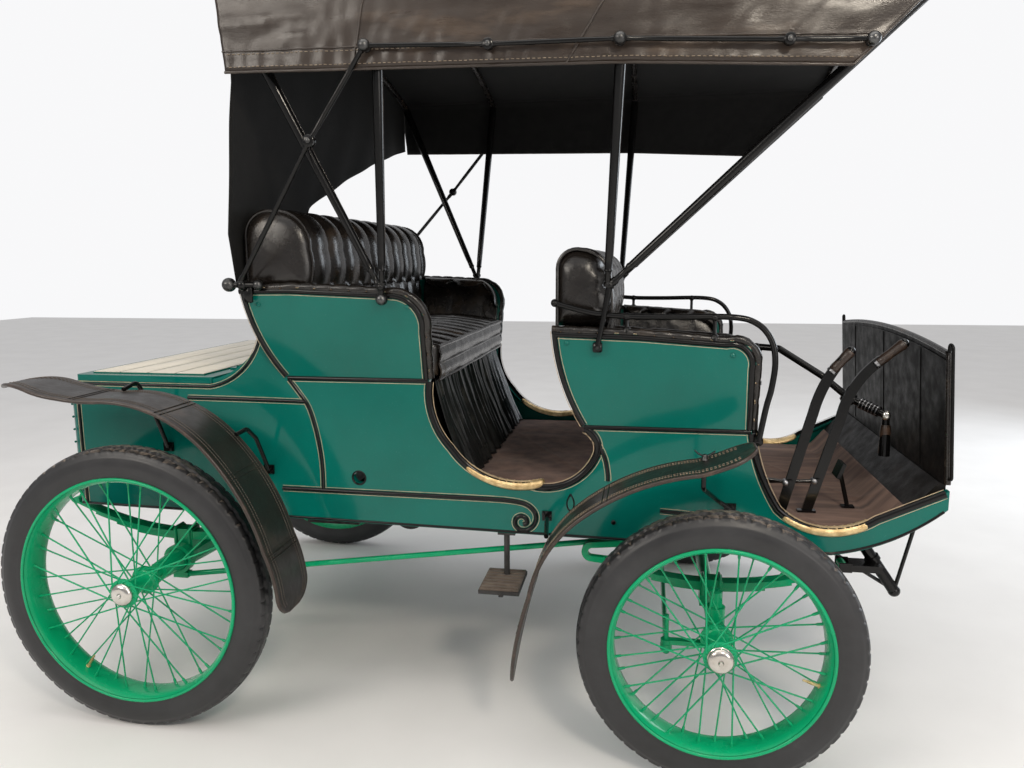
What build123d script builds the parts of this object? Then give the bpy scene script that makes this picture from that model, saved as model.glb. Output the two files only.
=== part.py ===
from build123d import *
import math
import os

# Horseless carriage with a fixed surrey top, in millimetres.
# +X is forward, +Y is the carriage's left, +Z is up, and the ground is Z = 0.
# Lengths along X are measured from the rear axle and moved to the middle of the box at the end.

# Wheels
TRACK = 1420
WHEELBASE = 1549
REAR_TYRE_R = 394
FRONT_TYRE_R = 343
TYRE_DEEP = 80
TYRE_W = 87
RIM_W = 79
RIM_T = 14
SPOKES = 40
SPOKE_SIDE = 4.2
SPOKE_LEAD = 60
SPOKE_AT_HUB = 33
HUB_R = 22
HUB_IN = 55
FLANGE_AT = 46
FLANGE_R = 40
FLANGE_T = 6
BORE_R = 15
BORE_OUT = 52
SPINDLE_OUT = 50
PIN_GAP = 0.05
CAP_R = 31
CAP_BACK = 49
CAP_BOSS_R = 5
FRONT_CAP_OUT = 82
REAR_CAP_OUT = 73

# Half width of the tyre at each depth below its tread
TYRE_PROFILE = (
    # half width, depth
    (17, 0),
    (31, 8),
    (40, 23),
    (43.5, 42),
    (42, 60),
    (39, TYRE_DEEP - 0.3),
)

# Body
HALF_W = 510
SIDE_T = 22
FIT = 0.3
BODY_BACK = -325
BODY_Z_BACK = 552
BODY_Z_FRONT = 518
CORNER_R = 42
DECK_BACK = -286
DECK_FRONT = 150
DECK_Z = 944
LID_T = 18
FIELD_T = 2.5
FIELD_HALF = 470
LID_GAP = 1.0
LID_LIFT_R = 6
LID_PIN_R = 3
LID_HINGE_Y = 320
LID_HINGE_W = 40
FLOOR_BACK_X = 560
FLOOR_BACK_Z = 645
FLOOR_FRONT_Z = 578
FLOOR_T = 18
FLOOR_STEP_X = 1262
FLOOR_FRONT_X = 1985
MAT_T = 6
DASH_X = 2095
DASH_T = 14
DASH_Z0 = 716
DASH_Z1 = 1040
DASH_CROWN = 28
DASH_LEAN = 20
LOOP_R = 4
HANDLE_X = 577
HANDLE_Z = 669
HANDLE_R = 17
SILL_T = 3

# Seats
REAR_SEAT_Z = 950
REAR_SEAT_FRONT = 786
REAR_SEAT_TOP = 1200
REAR_SEAT_FLARE = 65
REAR_SEAT_BACK = ((284, 1186), (307, 1070), (370, REAR_SEAT_Z))
FRONT_SEAT_Z = 836
FRONT_SEAT_FRONT = 1632
FRONT_SEAT_TOP = 1088
FRONT_SEAT_FLARE = 22
FRONT_SEAT_BACK = ((1121, 1088), (1145, 955), (1198, FRONT_SEAT_Z))
SEAT_T = 20
BOARD_T = 18
CUSHION_H = 110
CUSHION_GAP = 18

# Top
CANOPY_HALF = HALF_W + 216
CANOPY_Z1 = 1900
CANOPY_CROWN = 90
CANOPY_T = 6
EAVES_R = 22
POST_Y = CANOPY_HALF - 24
ROD_Y = CANOPY_HALF + 16
POST_TOP_R = 14
POST_FOOT_R = 9
ROOF_BOW_R = 10
FLATS = 16
REAR_IRON_Y = HALF_W + REAR_SEAT_FLARE + 12
FRONT_IRON_Y = HALF_W + FRONT_SEAT_FLARE + 16
RAIL_Y = HALF_W + FRONT_SEAT_FLARE - 10
RAIL_R = 8

# Fenders, on lines measured from each wheel's axle
FENDER_T = 8
REAR_FENDER_W = 165
FRONT_FENDER_W = 140

# Axles, springs and steering
SPRING_Y = HALF_W - 55
SPRING_W = 40
LEAF_T = 6
LEAVES = 4
EYE_R = 11
KING_Y = TRACK / 2 - 104
KING_R = 15
STEER_DEG = 24
ARM_LEN = 120
TIE_Z = FRONT_TYRE_R - 43
TILLER_X = 1690
TILLER_Y = -100
LEVER_W = 26
LEVER_T = 9

INNER = HALF_W - SIDE_T - FIT
X_FRONT = DASH_X + DASH_T
X_MIDDLE = (X_FRONT - REAR_TYRE_R) / 2


def cut_box(x0, x1, y0, y1, z0, z1):
    return Pos((x0 + x1) / 2, (y0 + y1) / 2, (z0 + z1) / 2) * Box(x1 - x0, y1 - y0, z1 - z0)


def path_edges(start, steps):
    """Lines and arcs from start: a step is an end point, or a point on an arc and its end point."""
    edges = []
    here = start
    for step in steps:
        if isinstance(step[0], tuple):
            edges.append(ThreePointArc(here, step[0], step[1]))
            here = step[1]
        elif math.dist(here, step) > 0.01:
            edges.append(Line(here, step))
            here = step
    return edges


def outline(start, steps):
    """A closed face in X and Z from the steps of path_edges."""
    return make_face(Wire(path_edges(start, list(steps) + [start])))


def prism(face, y0, y1):
    """The face, drawn in X and Z, as a solid from y0 to y1."""
    return extrude(Plane.XZ.offset(-y1) * face, amount=y1 - y0)


def along(face, x0, x1):
    """The face, drawn in Y and Z, as a solid from x0 to x1."""
    return extrude(Plane.YZ.offset(x0) * face, amount=x1 - x0)


def bar(p, q, r):
    """A round bar from p to q."""
    a = Vector(*p)
    b = Vector(*q)
    place = Plane(origin=a, z_dir=(b - a))
    return place * Cylinder(r, (b - a).length, align=(Align.CENTER, Align.CENTER, Align.MIN))


def tapered(p, q, r, r_end):
    """A bar of sixteen flats from p to q that tapers from r to r_end."""
    a = Vector(*p)
    b = Vector(*q)
    ends = [Plane(origin=a, z_dir=(b - a)) * RegularPolygon(r, FLATS),
            Plane(origin=b, z_dir=(b - a)) * RegularPolygon(r_end, FLATS)]
    return loft(ends, ruled=True)


def ball(p, r):
    return Pos(*p) * Rot(Z=90) * Sphere(r)


def tube_path(points, r, bend):
    """A round bar along straight runs with the bend radius at each inner corner."""
    path = FilletPolyline(*points, radius=bend)
    start = Plane(origin=path @ 0, z_dir=path % 0)
    return sweep(start * Circle(r), path=path)


def fuse(parts):
    return parts[0].fuse(*parts[1:])


def both(make):
    """A piece made on the left and its mirror on the right."""
    return [mirror(make, Plane.XZ), make]


def circle_of(points):
    """The centre and radius of the circle through three points."""
    (x1, z1), (x2, z2), (x3, z3) = points
    d = 2 * (x1 * (z2 - z3) + x2 * (z3 - z1) + x3 * (z1 - z2))
    s1 = x1 * x1 + z1 * z1
    s2 = x2 * x2 + z2 * z2
    s3 = x3 * x3 + z3 * z3
    cx = (s1 * (z2 - z3) + s2 * (z3 - z1) + s3 * (z1 - z2)) / d
    cz = (s1 * (x3 - x2) + s2 * (x1 - x3) + s3 * (x2 - x1)) / d
    return cx, cz, math.dist((x1, z1), (cx, cz))


def arc_x(points, z):
    """The X at height z on the arc through three points whose centre lies ahead of them."""
    cx, cz, r = circle_of(points)
    return cx - math.sqrt(r * r - (z - cz) ** 2)


ENTRANCE_ARC = ((838, 762), (925, 686), (1060, 664))
BOW_ARC = ((1699, 629), (1810, 577), (1943, 612))
RISER_TOP = 1066
RISER_X = arc_x(REAR_SEAT_BACK, RISER_TOP) - FIT
REAR_SEAT_HEEL = REAR_SEAT_BACK[2][0] - FIT


def side_face():
    heel_mid = (RISER_TOP + REAR_SEAT_Z) / 2
    return outline((BODY_BACK, BODY_Z_BACK), [
        (BODY_BACK, 880),
        ((BODY_BACK + 10, 915), (DECK_BACK, DECK_Z - LID_T)),
        (DECK_FRONT, DECK_Z - LID_T),
        (DECK_FRONT, DECK_Z - 4),
        ((238, 980), (RISER_X, RISER_TOP)),
        ((arc_x(REAR_SEAT_BACK, heel_mid) - FIT, heel_mid), (REAR_SEAT_HEEL, REAR_SEAT_Z)),
        (REAR_SEAT_FRONT, REAR_SEAT_Z),
        ((793, 838), ENTRANCE_ARC[0]),
        ENTRANCE_ARC[1:],
        ((1195, 689), (1246, 754)),
        ((1248, 795), (FRONT_SEAT_BACK[2][0], FRONT_SEAT_Z)),
        (FRONT_SEAT_FRONT, FRONT_SEAT_Z),
        ((1650, 733), BOW_ARC[0]),
        BOW_ARC[1:],
        (X_FRONT, 700),
        (X_FRONT, 652),
        ((2005, 575), (1840, BODY_Z_FRONT)),
    ])


def body_tub():
    """The side outline through a rounded plan, hollow between the side walls."""
    ahead = X_FRONT + 200
    plan = Pos((BODY_BACK + ahead) / 2, 0) * RectangleRounded(ahead - BODY_BACK, 2 * HALF_W, CORNER_R)
    block = extrude(plan, amount=1300)
    hollow = cut_box(DECK_BACK + SIDE_T, ahead, -HALF_W + SIDE_T, HALF_W - SIDE_T, 0, 1300)
    return (block - hollow) & prism(side_face(), -HALF_W - 1, HALF_W + 1)


def body_sides():
    middle = HALF_W - CORNER_R
    hole = prism(Pos(HANDLE_X, HANDLE_Z) * Circle(HANDLE_R), -HALF_W - 5, -HALF_W + SIDE_T + 5)
    sides = body_tub() - cut_box(BODY_BACK - 10, X_FRONT + 10, -middle, middle, 0, 1300) - hole
    return list(sides.solids())


def rear_panel():
    face = outline((BODY_BACK, BODY_Z_BACK), [
        (BODY_BACK, 880),
        ((BODY_BACK + 10, 915), (DECK_BACK, DECK_Z - LID_T)),
        (DECK_BACK + 18, DECK_Z - LID_T),
        ((BODY_BACK + 28, 905), (BODY_BACK + 18, 870)),
        (BODY_BACK + 18, BODY_Z_BACK),
    ])
    half = HALF_W - CORNER_R - FIT
    return [prism(face, -half, half)]


HINGE_X = DECK_FRONT - LID_LIFT_R - 1
HINGE_Z = DECK_Z + LID_GAP + LID_LIFT_R + 0.5


def deck_lid():
    front = DECK_FRONT - 2 * LID_GAP
    plan = Pos((DECK_BACK + front) / 2, 0) * RectangleRounded(front - DECK_BACK, 2 * HALF_W, 12)
    lid = extrude(Plane.XY.offset(DECK_Z - LID_T + LID_GAP) * plan, amount=LID_T)
    field = cut_box(DECK_BACK + 28, HINGE_X - 43, -FIELD_HALF, FIELD_HALF,
                    DECK_Z + LID_GAP - 1, DECK_Z + LID_GAP + FIELD_T)
    hinges = []
    for y in (-LID_HINGE_Y, LID_HINGE_Y):
        spot = Pos(HINGE_X, y, HINGE_Z) * Rot(X=90)
        barrel = spot * (Cylinder(LID_LIFT_R, LID_HINGE_W) - Cylinder(LID_PIN_R + PIN_GAP, LID_HINGE_W + 2))
        leaf = cut_box(HINGE_X - 34, HINGE_X - LID_PIN_R - 1, y - LID_HINGE_W / 2, y + LID_HINGE_W / 2,
                       DECK_Z, DECK_Z + LID_GAP + 4)
        hinges += [barrel, leaf]
    return [fuse([lid, field] + hinges)]


def deck_riser():
    face = outline((DECK_FRONT, DECK_Z - 4), [
        ((238, 980), (RISER_X, RISER_TOP)),
        (RISER_X, RISER_TOP - 22),
        ((246, 962), (DECK_FRONT, DECK_Z - 24)),
    ])
    parts = [prism(face, -INNER, INNER)]
    for y in (-LID_HINGE_Y, LID_HINGE_Y):
        pin = Pos(HINGE_X, y, HINGE_Z) * Rot(X=90) * Cylinder(LID_PIN_R, LID_HINGE_W + 26)
        parts.append(pin)
        for side in (-1, 1):
            edge = y + side * (LID_HINGE_W / 2 + 1)
            y0 = min(edge, edge + side * 12)
            y1 = max(edge, edge + side * 12)
            parts.append(Pos(HINGE_X, (y0 + y1) / 2, HINGE_Z) * Rot(X=90) * Cylinder(LID_LIFT_R, 12))
            parts.append(cut_box(HINGE_X, HINGE_X + 52, y0, y1, HINGE_Z - 2, HINGE_Z + 2))
    return [fuse(parts)]


def seat_shell(back, front_steps, z0, z1, flare):
    """Two flared sides cut to the seat's outline and a curved back between them."""
    x0 = back[0][0] - 60
    x1 = front_steps[-1][0] + 60

    def wedge(inset):
        low = HALF_W - inset
        high = HALF_W + flare - inset
        return along(Polygon((-low, z0), (low, z0), (high, z1), (-high, z1), align=None), x0, x1)

    outer = wedge(0)
    side = outline(back[0], [*front_steps, back[2], (back[1], back[0])])
    lead = [(x + SEAT_T, z) for x, z in back]
    strip = outline(back[0], [(back[1], back[2]), lead[2], (lead[1], lead[0])])
    walls = (outer - wedge(SEAT_T)) & prism(side, -800, 800)
    return [walls + (outer & prism(strip, -800, 800))]


def shell_out(z, z0, z1, flare):
    """How far out the flared side of a seat is at height z."""
    return HALF_W + flare * (z - z0) / (z1 - z0)


def rear_seat_shell():
    front = REAR_SEAT_FRONT
    steps = [(425, REAR_SEAT_TOP), (700, REAR_SEAT_TOP - 12),
             ((770, 1155), (front + 4, 1085)), (front, REAR_SEAT_Z)]
    return seat_shell(REAR_SEAT_BACK, steps, REAR_SEAT_Z + FIT, REAR_SEAT_TOP, REAR_SEAT_FLARE)


def front_seat_shell():
    front = FRONT_SEAT_FRONT
    steps = [(1346, FRONT_SEAT_TOP - 6), (1560, FRONT_SEAT_TOP - 22),
             ((1618, 1050), (front, 1000)), (front, FRONT_SEAT_Z)]
    return seat_shell(FRONT_SEAT_BACK, steps, FRONT_SEAT_Z + FIT, FRONT_SEAT_TOP, FRONT_SEAT_FLARE)


def seat_boxes():
    rear_back = arc_x(REAR_SEAT_BACK, REAR_SEAT_Z) + 6
    rear = fuse([
        cut_box(rear_back, 764, -INNER, INNER, REAR_SEAT_Z - BOARD_T, REAR_SEAT_Z - FIT),
        prism(outline((744, REAR_SEAT_Z - BOARD_T), [
            (764, REAR_SEAT_Z - BOARD_T),
            (850, FLOOR_BACK_Z + FIT),
            (830, FLOOR_BACK_Z + FIT),
        ]), -INNER, INNER),
    ])
    front_back = FRONT_SEAT_BACK[2][0] + 64
    front_end = FRONT_SEAT_FRONT - 26
    front = fuse([
        cut_box(front_back, front_end, -INNER, INNER, FRONT_SEAT_Z - BOARD_T, FRONT_SEAT_Z - FIT),
        cut_box(front_end - BOARD_T, front_end, -INNER, INNER, FLOOR_FRONT_Z + FIT, FRONT_SEAT_Z - BOARD_T),
        cut_box(front_back, front_back + BOARD_T, -INNER, INNER, FLOOR_BACK_Z + FIT, FRONT_SEAT_Z - BOARD_T),
    ])
    return [rear, front]


def body_floor():
    under = FLOOR_FRONT_Z - FLOOR_T
    floor = outline((FLOOR_BACK_X, FLOOR_BACK_Z - FLOOR_T), [
        (FLOOR_BACK_X, FLOOR_BACK_Z),
        (FLOOR_STEP_X + FLOOR_T, FLOOR_BACK_Z),
        (FLOOR_STEP_X + FLOOR_T, FLOOR_FRONT_Z),
        (FLOOR_FRONT_X - 12, FLOOR_FRONT_Z),
        (DASH_X - 4, DASH_Z0 - FIT),
        (X_FRONT - 2, DASH_Z0 - FIT),
        (X_FRONT - 2, DASH_Z0 - 26),
        (FLOOR_FRONT_X, under),
        (FLOOR_STEP_X, under),
        (FLOOR_STEP_X, FLOOR_BACK_Z - FLOOR_T),
    ])
    return [prism(floor, -INNER, INNER)]


def floor_mats():
    edge = INNER - 5
    rear = cut_box(856, FLOOR_STEP_X - 8, -edge, edge, FLOOR_BACK_Z + FIT, FLOOR_BACK_Z + MAT_T)
    front = cut_box(FRONT_SEAT_FRONT - 20, FLOOR_FRONT_X - 15, -edge, edge, FLOOR_FRONT_Z + FIT,
                    FLOOR_FRONT_Z + MAT_T)
    return [rear, front]


def edge_strip(arc, x0, x1):
    """A strip between two values of X that lies on a hollow arc of the side's edge."""
    cx, cz, r = circle_of(arc)

    def at(x, lift):
        return (x, cz - math.sqrt((r - lift) ** 2 - (x - cx) ** 2))

    xm = (x0 + x1) / 2
    top = FIT + SILL_T
    return outline(at(x0, FIT), [(at(xm, FIT), at(x1, FIT)), at(x1, top), (at(xm, top), at(x0, top))])


def sill_plates():
    outer = HALF_W
    rear = edge_strip(ENTRANCE_ARC, 905, 1058)
    front = edge_strip(BOW_ARC, 1712, 1850)
    return across_right_left(rear, outer) + across_right_left(front, outer)


def across_right_left(face, outer):
    return both(prism(face, outer - SIDE_T, outer))


def dash():
    """A crowned board that leans back, with a grab loop outside each end."""
    half = HALF_W + 1
    board = make_face(Wire([
        Line((-half, DASH_Z0), (half, DASH_Z0)),
        Line((half, DASH_Z0), (half, DASH_Z1)),
        ThreePointArc((half, DASH_Z1), (0, DASH_Z1 + DASH_CROWN), (-half, DASH_Z1)),
        Line((-half, DASH_Z1), (-half, DASH_Z0)),
    ]))
    high = DASH_Z1 + DASH_CROWN + 5
    lean = DASH_LEAN * (high - DASH_Z0) / (DASH_Z1 - DASH_Z0)
    slope = outline((DASH_X, DASH_Z0), [
        (DASH_X + DASH_T, DASH_Z0),
        (DASH_X + DASH_T - lean, high),
        (DASH_X - lean, high),
    ])
    panel = along(board, DASH_X - 60, DASH_X + 60) & prism(slope, -half, half)
    x_top = DASH_X + DASH_T / 2 - DASH_LEAN
    x_low = DASH_X + DASH_T / 2
    out = half + 22
    loop = tube_path([
        (x_top, half - 3, DASH_Z1 - 30),
        (x_top - 2, half + 3, DASH_Z1 + 26),
        (x_top - 1, out, DASH_Z1 + 22),
        (x_low, out, DASH_Z0 + 20),
        (x_low, half - 3, DASH_Z0 + 14),
    ], LOOP_R, 8)
    return [fuse([panel] + both(loop))]


def soft_block(face, half, rounding, above):
    """A closed soft block of the outline whose end edges are rounded above the given height."""
    block = prism(face, -half, half)
    ends = [e for e in block.edges() if abs(abs(e.center().Y) - half) < 1 and e.center().Z > above]
    return fillet(ends, rounding)


def rear_cushion():
    half = HALF_W - 40
    x0 = arc_x(REAR_SEAT_BACK, REAR_SEAT_Z) + SEAT_T + 20
    top = REAR_SEAT_Z + CUSHION_H
    face = outline((x0, REAR_SEAT_Z + FIT), [
        (x0, top - 10),
        ((620, top + 10), (806, top - 14)),
        (798, REAR_SEAT_Z + FIT),
    ])
    return [soft_block(face, half, 8, top - 30)]


def front_cushion():
    half = HALF_W - 40
    x0 = FRONT_SEAT_BACK[2][0] + 62
    top = FRONT_SEAT_Z + CUSHION_H
    face = outline((x0, FRONT_SEAT_Z + FIT), [
        (x0, top - 10),
        ((1450, top + 10), (1620, top - 14)),
        (1612, FRONT_SEAT_Z + FIT),
    ])
    return [soft_block(face, half, 8, top - 30)]


def rear_backrest():
    low = REAR_SEAT_Z + CUSHION_H + CUSHION_GAP
    x_low = arc_x(REAR_SEAT_BACK, low) + SEAT_T + FIT
    x_rim = arc_x(REAR_SEAT_BACK, 1186) + SEAT_T + FIT
    inside = prism(outline((x_low, low), [
        (x_rim, 1186),
        (x_rim, REAR_SEAT_TOP + 10),
        (480, REAR_SEAT_TOP + 10),
        (470, low),
    ]), -HALF_W - 4, HALF_W + 4)
    above = soft_block(outline((283, REAR_SEAT_TOP + 5), [
        (283, 1340),
        ((312, 1400), (370, 1412)),
        ((450, 1385), (482, 1300)),
        ((488, 1250), (480, REAR_SEAT_TOP + 5)),
    ]), HALF_W + 50, 22, 0)
    return [inside + above]


def front_backrest():
    low = FRONT_SEAT_Z + CUSHION_H + CUSHION_GAP
    x_low = arc_x(FRONT_SEAT_BACK, low) + SEAT_T + FIT
    x_rim = arc_x(FRONT_SEAT_BACK, FRONT_SEAT_TOP) + SEAT_T + FIT
    inside = prism(outline((x_low, low), [
        (x_rim, FRONT_SEAT_TOP),
        (x_rim, FRONT_SEAT_TOP + 12),
        (1272, FRONT_SEAT_TOP + 12),
        (1272, low),
    ]), -HALF_W + 12, HALF_W - 12)
    above = soft_block(outline((1122, FRONT_SEAT_TOP + 5), [
        (1122, 1250),
        ((1145, 1298), (1190, 1306)),
        ((1252, 1280), (1276, 1210)),
        ((1282, 1150), (1274, FRONT_SEAT_TOP + 5)),
    ]), HALF_W - 2, 20, 0)
    return [inside + above]


def seat_skirt():
    """Gathered cloth that hangs from the cushion's front down to the floor."""
    top = REAR_SEAT_Z - 4
    low = FLOOR_BACK_Z + MAT_T + FIT
    face = outline((770, top), [
        (796, top),
        ((835, 800), (896, low)),
        (868, low),
        ((808, 800), (770, top)),
    ])
    return [prism(face, -HALF_W + 62, HALF_W - 62)]


def handrails():
    """A bent rail along each side of the front seat on two short posts, down to the body side."""
    y = RAIL_Y
    rail = tube_path([(1128, y, 1160), (1222, y, 1136), (1312, y, 1126), (1600, y, 1126), (1676, y, 1062),
                      (1662, y, 900), (1648, y, 818)], RAIL_R, 40)
    parts = [rail]
    for x in (1312, 1530):
        foot = FRONT_SEAT_TOP - 6 - (x - 1346) * 16 / 214 + FIT
        parts.append(bar((x, y, foot), (x, y, 1126), 6))
        parts.append(Pos(x, y, foot + 5) * Cylinder(11, 8))
    lug_y = HALF_W + FIT
    parts.append(cut_box(1634, 1660, lug_y, y + 4, 800, 822))
    parts.append(ball((1128, y, 1160), RAIL_R + 2))
    return both(fuse(parts))


def rear_curtain():
    """A sheet behind the rear seat from the roof down; its left lower corner is drawn up."""
    slab = outline((350, 2000), [
        (356, 2000),
        (354, 1710),
        (276, 1340),
        (276, 1206),
        (270, 1206),
        (270, 1340),
        (348, 1710),
    ])
    half = CANOPY_HALF - CANOPY_T - FIT
    skin = CANOPY_T + 1
    edge_z = roof_arc(half - 50, skin)
    sheet = make_face(Wire([
        Line((-half, 1700), (-half, CANOPY_Z1 - 60)),
        Line((-half, CANOPY_Z1 - 60), (-half + 50, edge_z)),
        ThreePointArc((-half + 50, edge_z), (0, roof_arc(0, skin)), (half - 50, edge_z)),
        Line((half - 50, edge_z), (half, CANOPY_Z1 - 60)),
        Line((half, CANOPY_Z1 - 60), (half, 1720)),
        ThreePointArc((half, 1720), (260, 1590), (-118, 1440)),
        Line((-118, 1440), (-230, 1206)),
        Line((-230, 1206), (-HALF_W - 60, 1206)),
        Line((-HALF_W - 60, 1206), (-half, 1700)),
    ]))
    return [prism(slab, -half - 1, half + 1) & along(sheet, 200, 500)]


def canopy():
    """A thin arched roof with side valances, open in front and behind."""
    half = CANOPY_HALF

    def section(inset, low):
        w = half - inset
        crown = roof_arc(0, inset)
        side_top = roof_arc(w, inset)
        face = make_face(Wire([
            Line((-w, low), (w, low)),
            Line((w, low), (w, side_top)),
            ThreePointArc((w, side_top), (0, crown), (-w, side_top)),
            Line((-w, side_top), (-w, low)),
        ]))
        eaves = [v for v in face.vertices() if abs(v.Y - side_top) < 1]
        return fillet(eaves, EAVES_R - inset)

    shell = along(section(0, 1600), 200, 2200) - along(section(CANOPY_T, 1500), 150, 2250)
    side = outline((362, 1712), [
        (332, 2010),
        (2052, 2010),
        (1995, 1885),
        (1775, 1668),
        (1290, 1694),
    ])
    top = shell & prism(side, -half - 5, half + 5)
    for x, z in ROD_ENDS:
        for side_y in (-1, 1):
            y = side_y * half
            top = top - Pos(x, y, z) * Rot(X=90) * Cylinder(PIN_R + 4, 40)
    return [top]


def roof_arc(y, inset):
    """The height at y of an arc that runs inset below the roof's skin."""
    sag = CANOPY_CROWN
    r = (CANOPY_HALF ** 2 + sag ** 2) / (2 * sag)
    return CANOPY_Z1 + sag - r + math.sqrt((r - inset) ** 2 - y * y)


# Side rod ends outside the valance, each on the post behind it
ROD_ENDS = (
    # x, z
    (716, 1752),
    (1292, 1739),
    (1806, 1713),
)
ROD_KNUCKLES = ((1003, 1741), (1642, 1720))
PIN_R = 6
BOW_INSET = CANOPY_T + FIT + ROOF_BOW_R
BOW_END_Z = roof_arc(POST_Y, BOW_INSET)

# Each post's foot and the point where it passes the valance's lower edge
POSTS = (
    # name, foot x, foot z, hem x, hem z
    ("rear bow", 679, 1207, 447, 1714),
    ("rear post", 688, 1207, 722, 1711),
    ("front post", 1263, 1204, 1290, 1703),
    ("front bow", 1275, 1212, 1805, 1706),
)


POST_TOP_Z = BOW_END_Z - ROOF_BOW_R - FIT


def post_at(post, z):
    """The middle of the named post at height z: its foot is at the seat and its top at the roof bow."""
    name, foot_x, foot_z, hem_x, hem_z = post
    foot_y = REAR_IRON_Y if name.startswith("rear") else FRONT_IRON_Y
    x = foot_x + (hem_x - foot_x) * (z - foot_z) / (hem_z - foot_z)
    y = foot_y + (POST_Y - foot_y) * (z - foot_z) / (POST_TOP_Z - foot_z)
    return x, y, z


def roof_bows():
    bows = []
    for post in POSTS:
        x = post_at(post, POST_TOP_Z)[0]
        arc = ThreePointArc((x, -POST_Y, BOW_END_Z), (x, 0, roof_arc(0, BOW_INSET)), (x, POST_Y, BOW_END_Z))
        start = Plane(origin=arc @ 0, z_dir=arc % 0)
        bows.append(sweep(start * Circle(ROOF_BOW_R), path=arc))
    return bows


def knuckle_rod(p, q, joint, r):
    """Two tapered rods that meet in a folding knuckle."""
    x, y, z = joint
    pin = tapered((x, y - 1.5 * r, z), (x, y + 1.5 * r, z), 2.2 * r, 2.2 * r)
    middle = Vector(*joint)
    near = middle + (Vector(*p) - middle).normalized() * r
    far = middle + (Vector(*q) - middle).normalized() * r
    return [tapered(p, near, r * 0.8, r), tapered(far, q, r, r * 0.8), pin]


def top_irons():
    """Tapered bows and posts, braces and the jointed side rods, joined on each side."""
    parts = []
    for post in POSTS:
        x, y, z = post_at(post, POST_TOP_Z + 12)
        above = cut_box(x - 60, x + 60, y - 60, y + 60, POST_TOP_Z, POST_TOP_Z + 60)
        parts.append(tapered(post_at(post, post[2]), (x, y, z), POST_FOOT_R, POST_TOP_R) - above)
    y = REAR_IRON_Y
    seat_z = REAR_SEAT_TOP - 14
    parts += [ball((684, y, 1203), 14), bar((684, y, 1206), (684, y, seat_z - 12), 8)]
    lug = shell_out(seat_z - 6, REAR_SEAT_Z, REAR_SEAT_TOP, REAR_SEAT_FLARE) + FIT
    parts.append(cut_box(672, 696, lug, y + 6, seat_z - 30, seat_z - 6))
    brace_low = (290, y, 1208)
    parts += [bar((264, y, 1208), (345, y, 1208), 8), ball((264, y, 1208), 16), ball((345, y, 1208), 12)]
    parts.append(cut_box(300, 324, HALF_W + REAR_SEAT_FLARE + FIT, y + 6, REAR_SEAT_TOP - 40, 1208))
    (x0, z0), (x1, z1), (x2, z2) = ROD_ENDS
    parts += knuckle_rod(brace_low, (x0, ROD_Y, z0), (559, ROD_Y - 34, 1552), 7)
    ends = [(x0, z0), (x1, z1), (x2, z2)]
    for (x, z), post in zip(ends, POSTS[1:]):
        parts.append(Pos(x, ROD_Y + 4, z) * Rot(X=90) * Cylinder(14, 26))
        parts.append(bar((x, post_at(post, z)[1], z), (x, ROD_Y + 12, z), PIN_R))
    for (xa, za), (xb, zb), (xk, zk) in ((ends[0], ends[1], ROD_KNUCKLES[0]), (ends[1], ends[2], ROD_KNUCKLES[1])):
        parts += knuckle_rod((xa, ROD_Y, za), (xb, ROD_Y, zb), (xk, ROD_Y, zk), 6)
    y = FRONT_IRON_Y
    parts += [ball((1269, y, 1207), 13)]
    parts.append(bar((1269, y, 1207), (1240, y, 1052), 7))
    lug = shell_out(1062, FRONT_SEAT_Z, FRONT_SEAT_TOP, FRONT_SEAT_FLARE) + FIT
    parts.append(cut_box(1228, 1252, lug, y + 5, 1036, 1062))
    return both(fuse(parts))


def strip_solid(edges, under, y, width):
    """A leather strip of the fender's thickness below the edges that it follows."""
    band = Wire(edges).offset_2d(FENDER_T, side=under, closed=True)
    return prism(make_face(band), y - width / 2, y + width / 2)


def rear_fenders():
    """A wide leather fender with a leaf point behind and a rounded lower end in front."""
    y = TRACK / 2
    w = REAR_FENDER_W
    axle = REAR_TYRE_R
    edges = path_edges((-334, axle + 552), [
        ((-262, axle + 564), (-190, axle + 551)),
        ((-95, axle + 532), (5, axle + 530)),
        ((150, axle + 504), (278, axle + 420)),
        ((377, axle + 286), (432, axle + 151)),
        ((458, axle + 65), (464, axle - 22)),
    ])
    band = strip_solid(edges, Side.RIGHT, y, w)
    leaf = make_face(Wire([
        ThreePointArc((-345, y), (-262, y + 0.40 * w), (-120, y + w / 2)),
        Line((-120, y + w / 2), (600, y + w / 2)),
        Line((600, y + w / 2), (600, y - w / 2)),
        Line((600, y - w / 2), (-120, y - w / 2)),
        ThreePointArc((-120, y - w / 2), (-262, y - 0.40 * w), (-345, y)),
    ]))
    band = band & extrude(leaf, amount=1300)
    low = axle - 22
    tail = make_face(Wire([
        Line((y - w / 2, 1300), (y - w / 2, low + 50)),
        ThreePointArc((y - w / 2, low + 50), (y - w * 0.36, low + 12), (y - w * 0.1, low)),
        Line((y - w * 0.1, low), (y + w * 0.1, low)),
        ThreePointArc((y + w * 0.1, low), (y + w * 0.36, low + 12), (y + w / 2, low + 50)),
        Line((y + w / 2, low + 50), (y + w / 2, 1300)),
        Line((y + w / 2, 1300), (y - w / 2, 1300)),
    ]))
    return both(band & along(tail, -400, 600))


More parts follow.
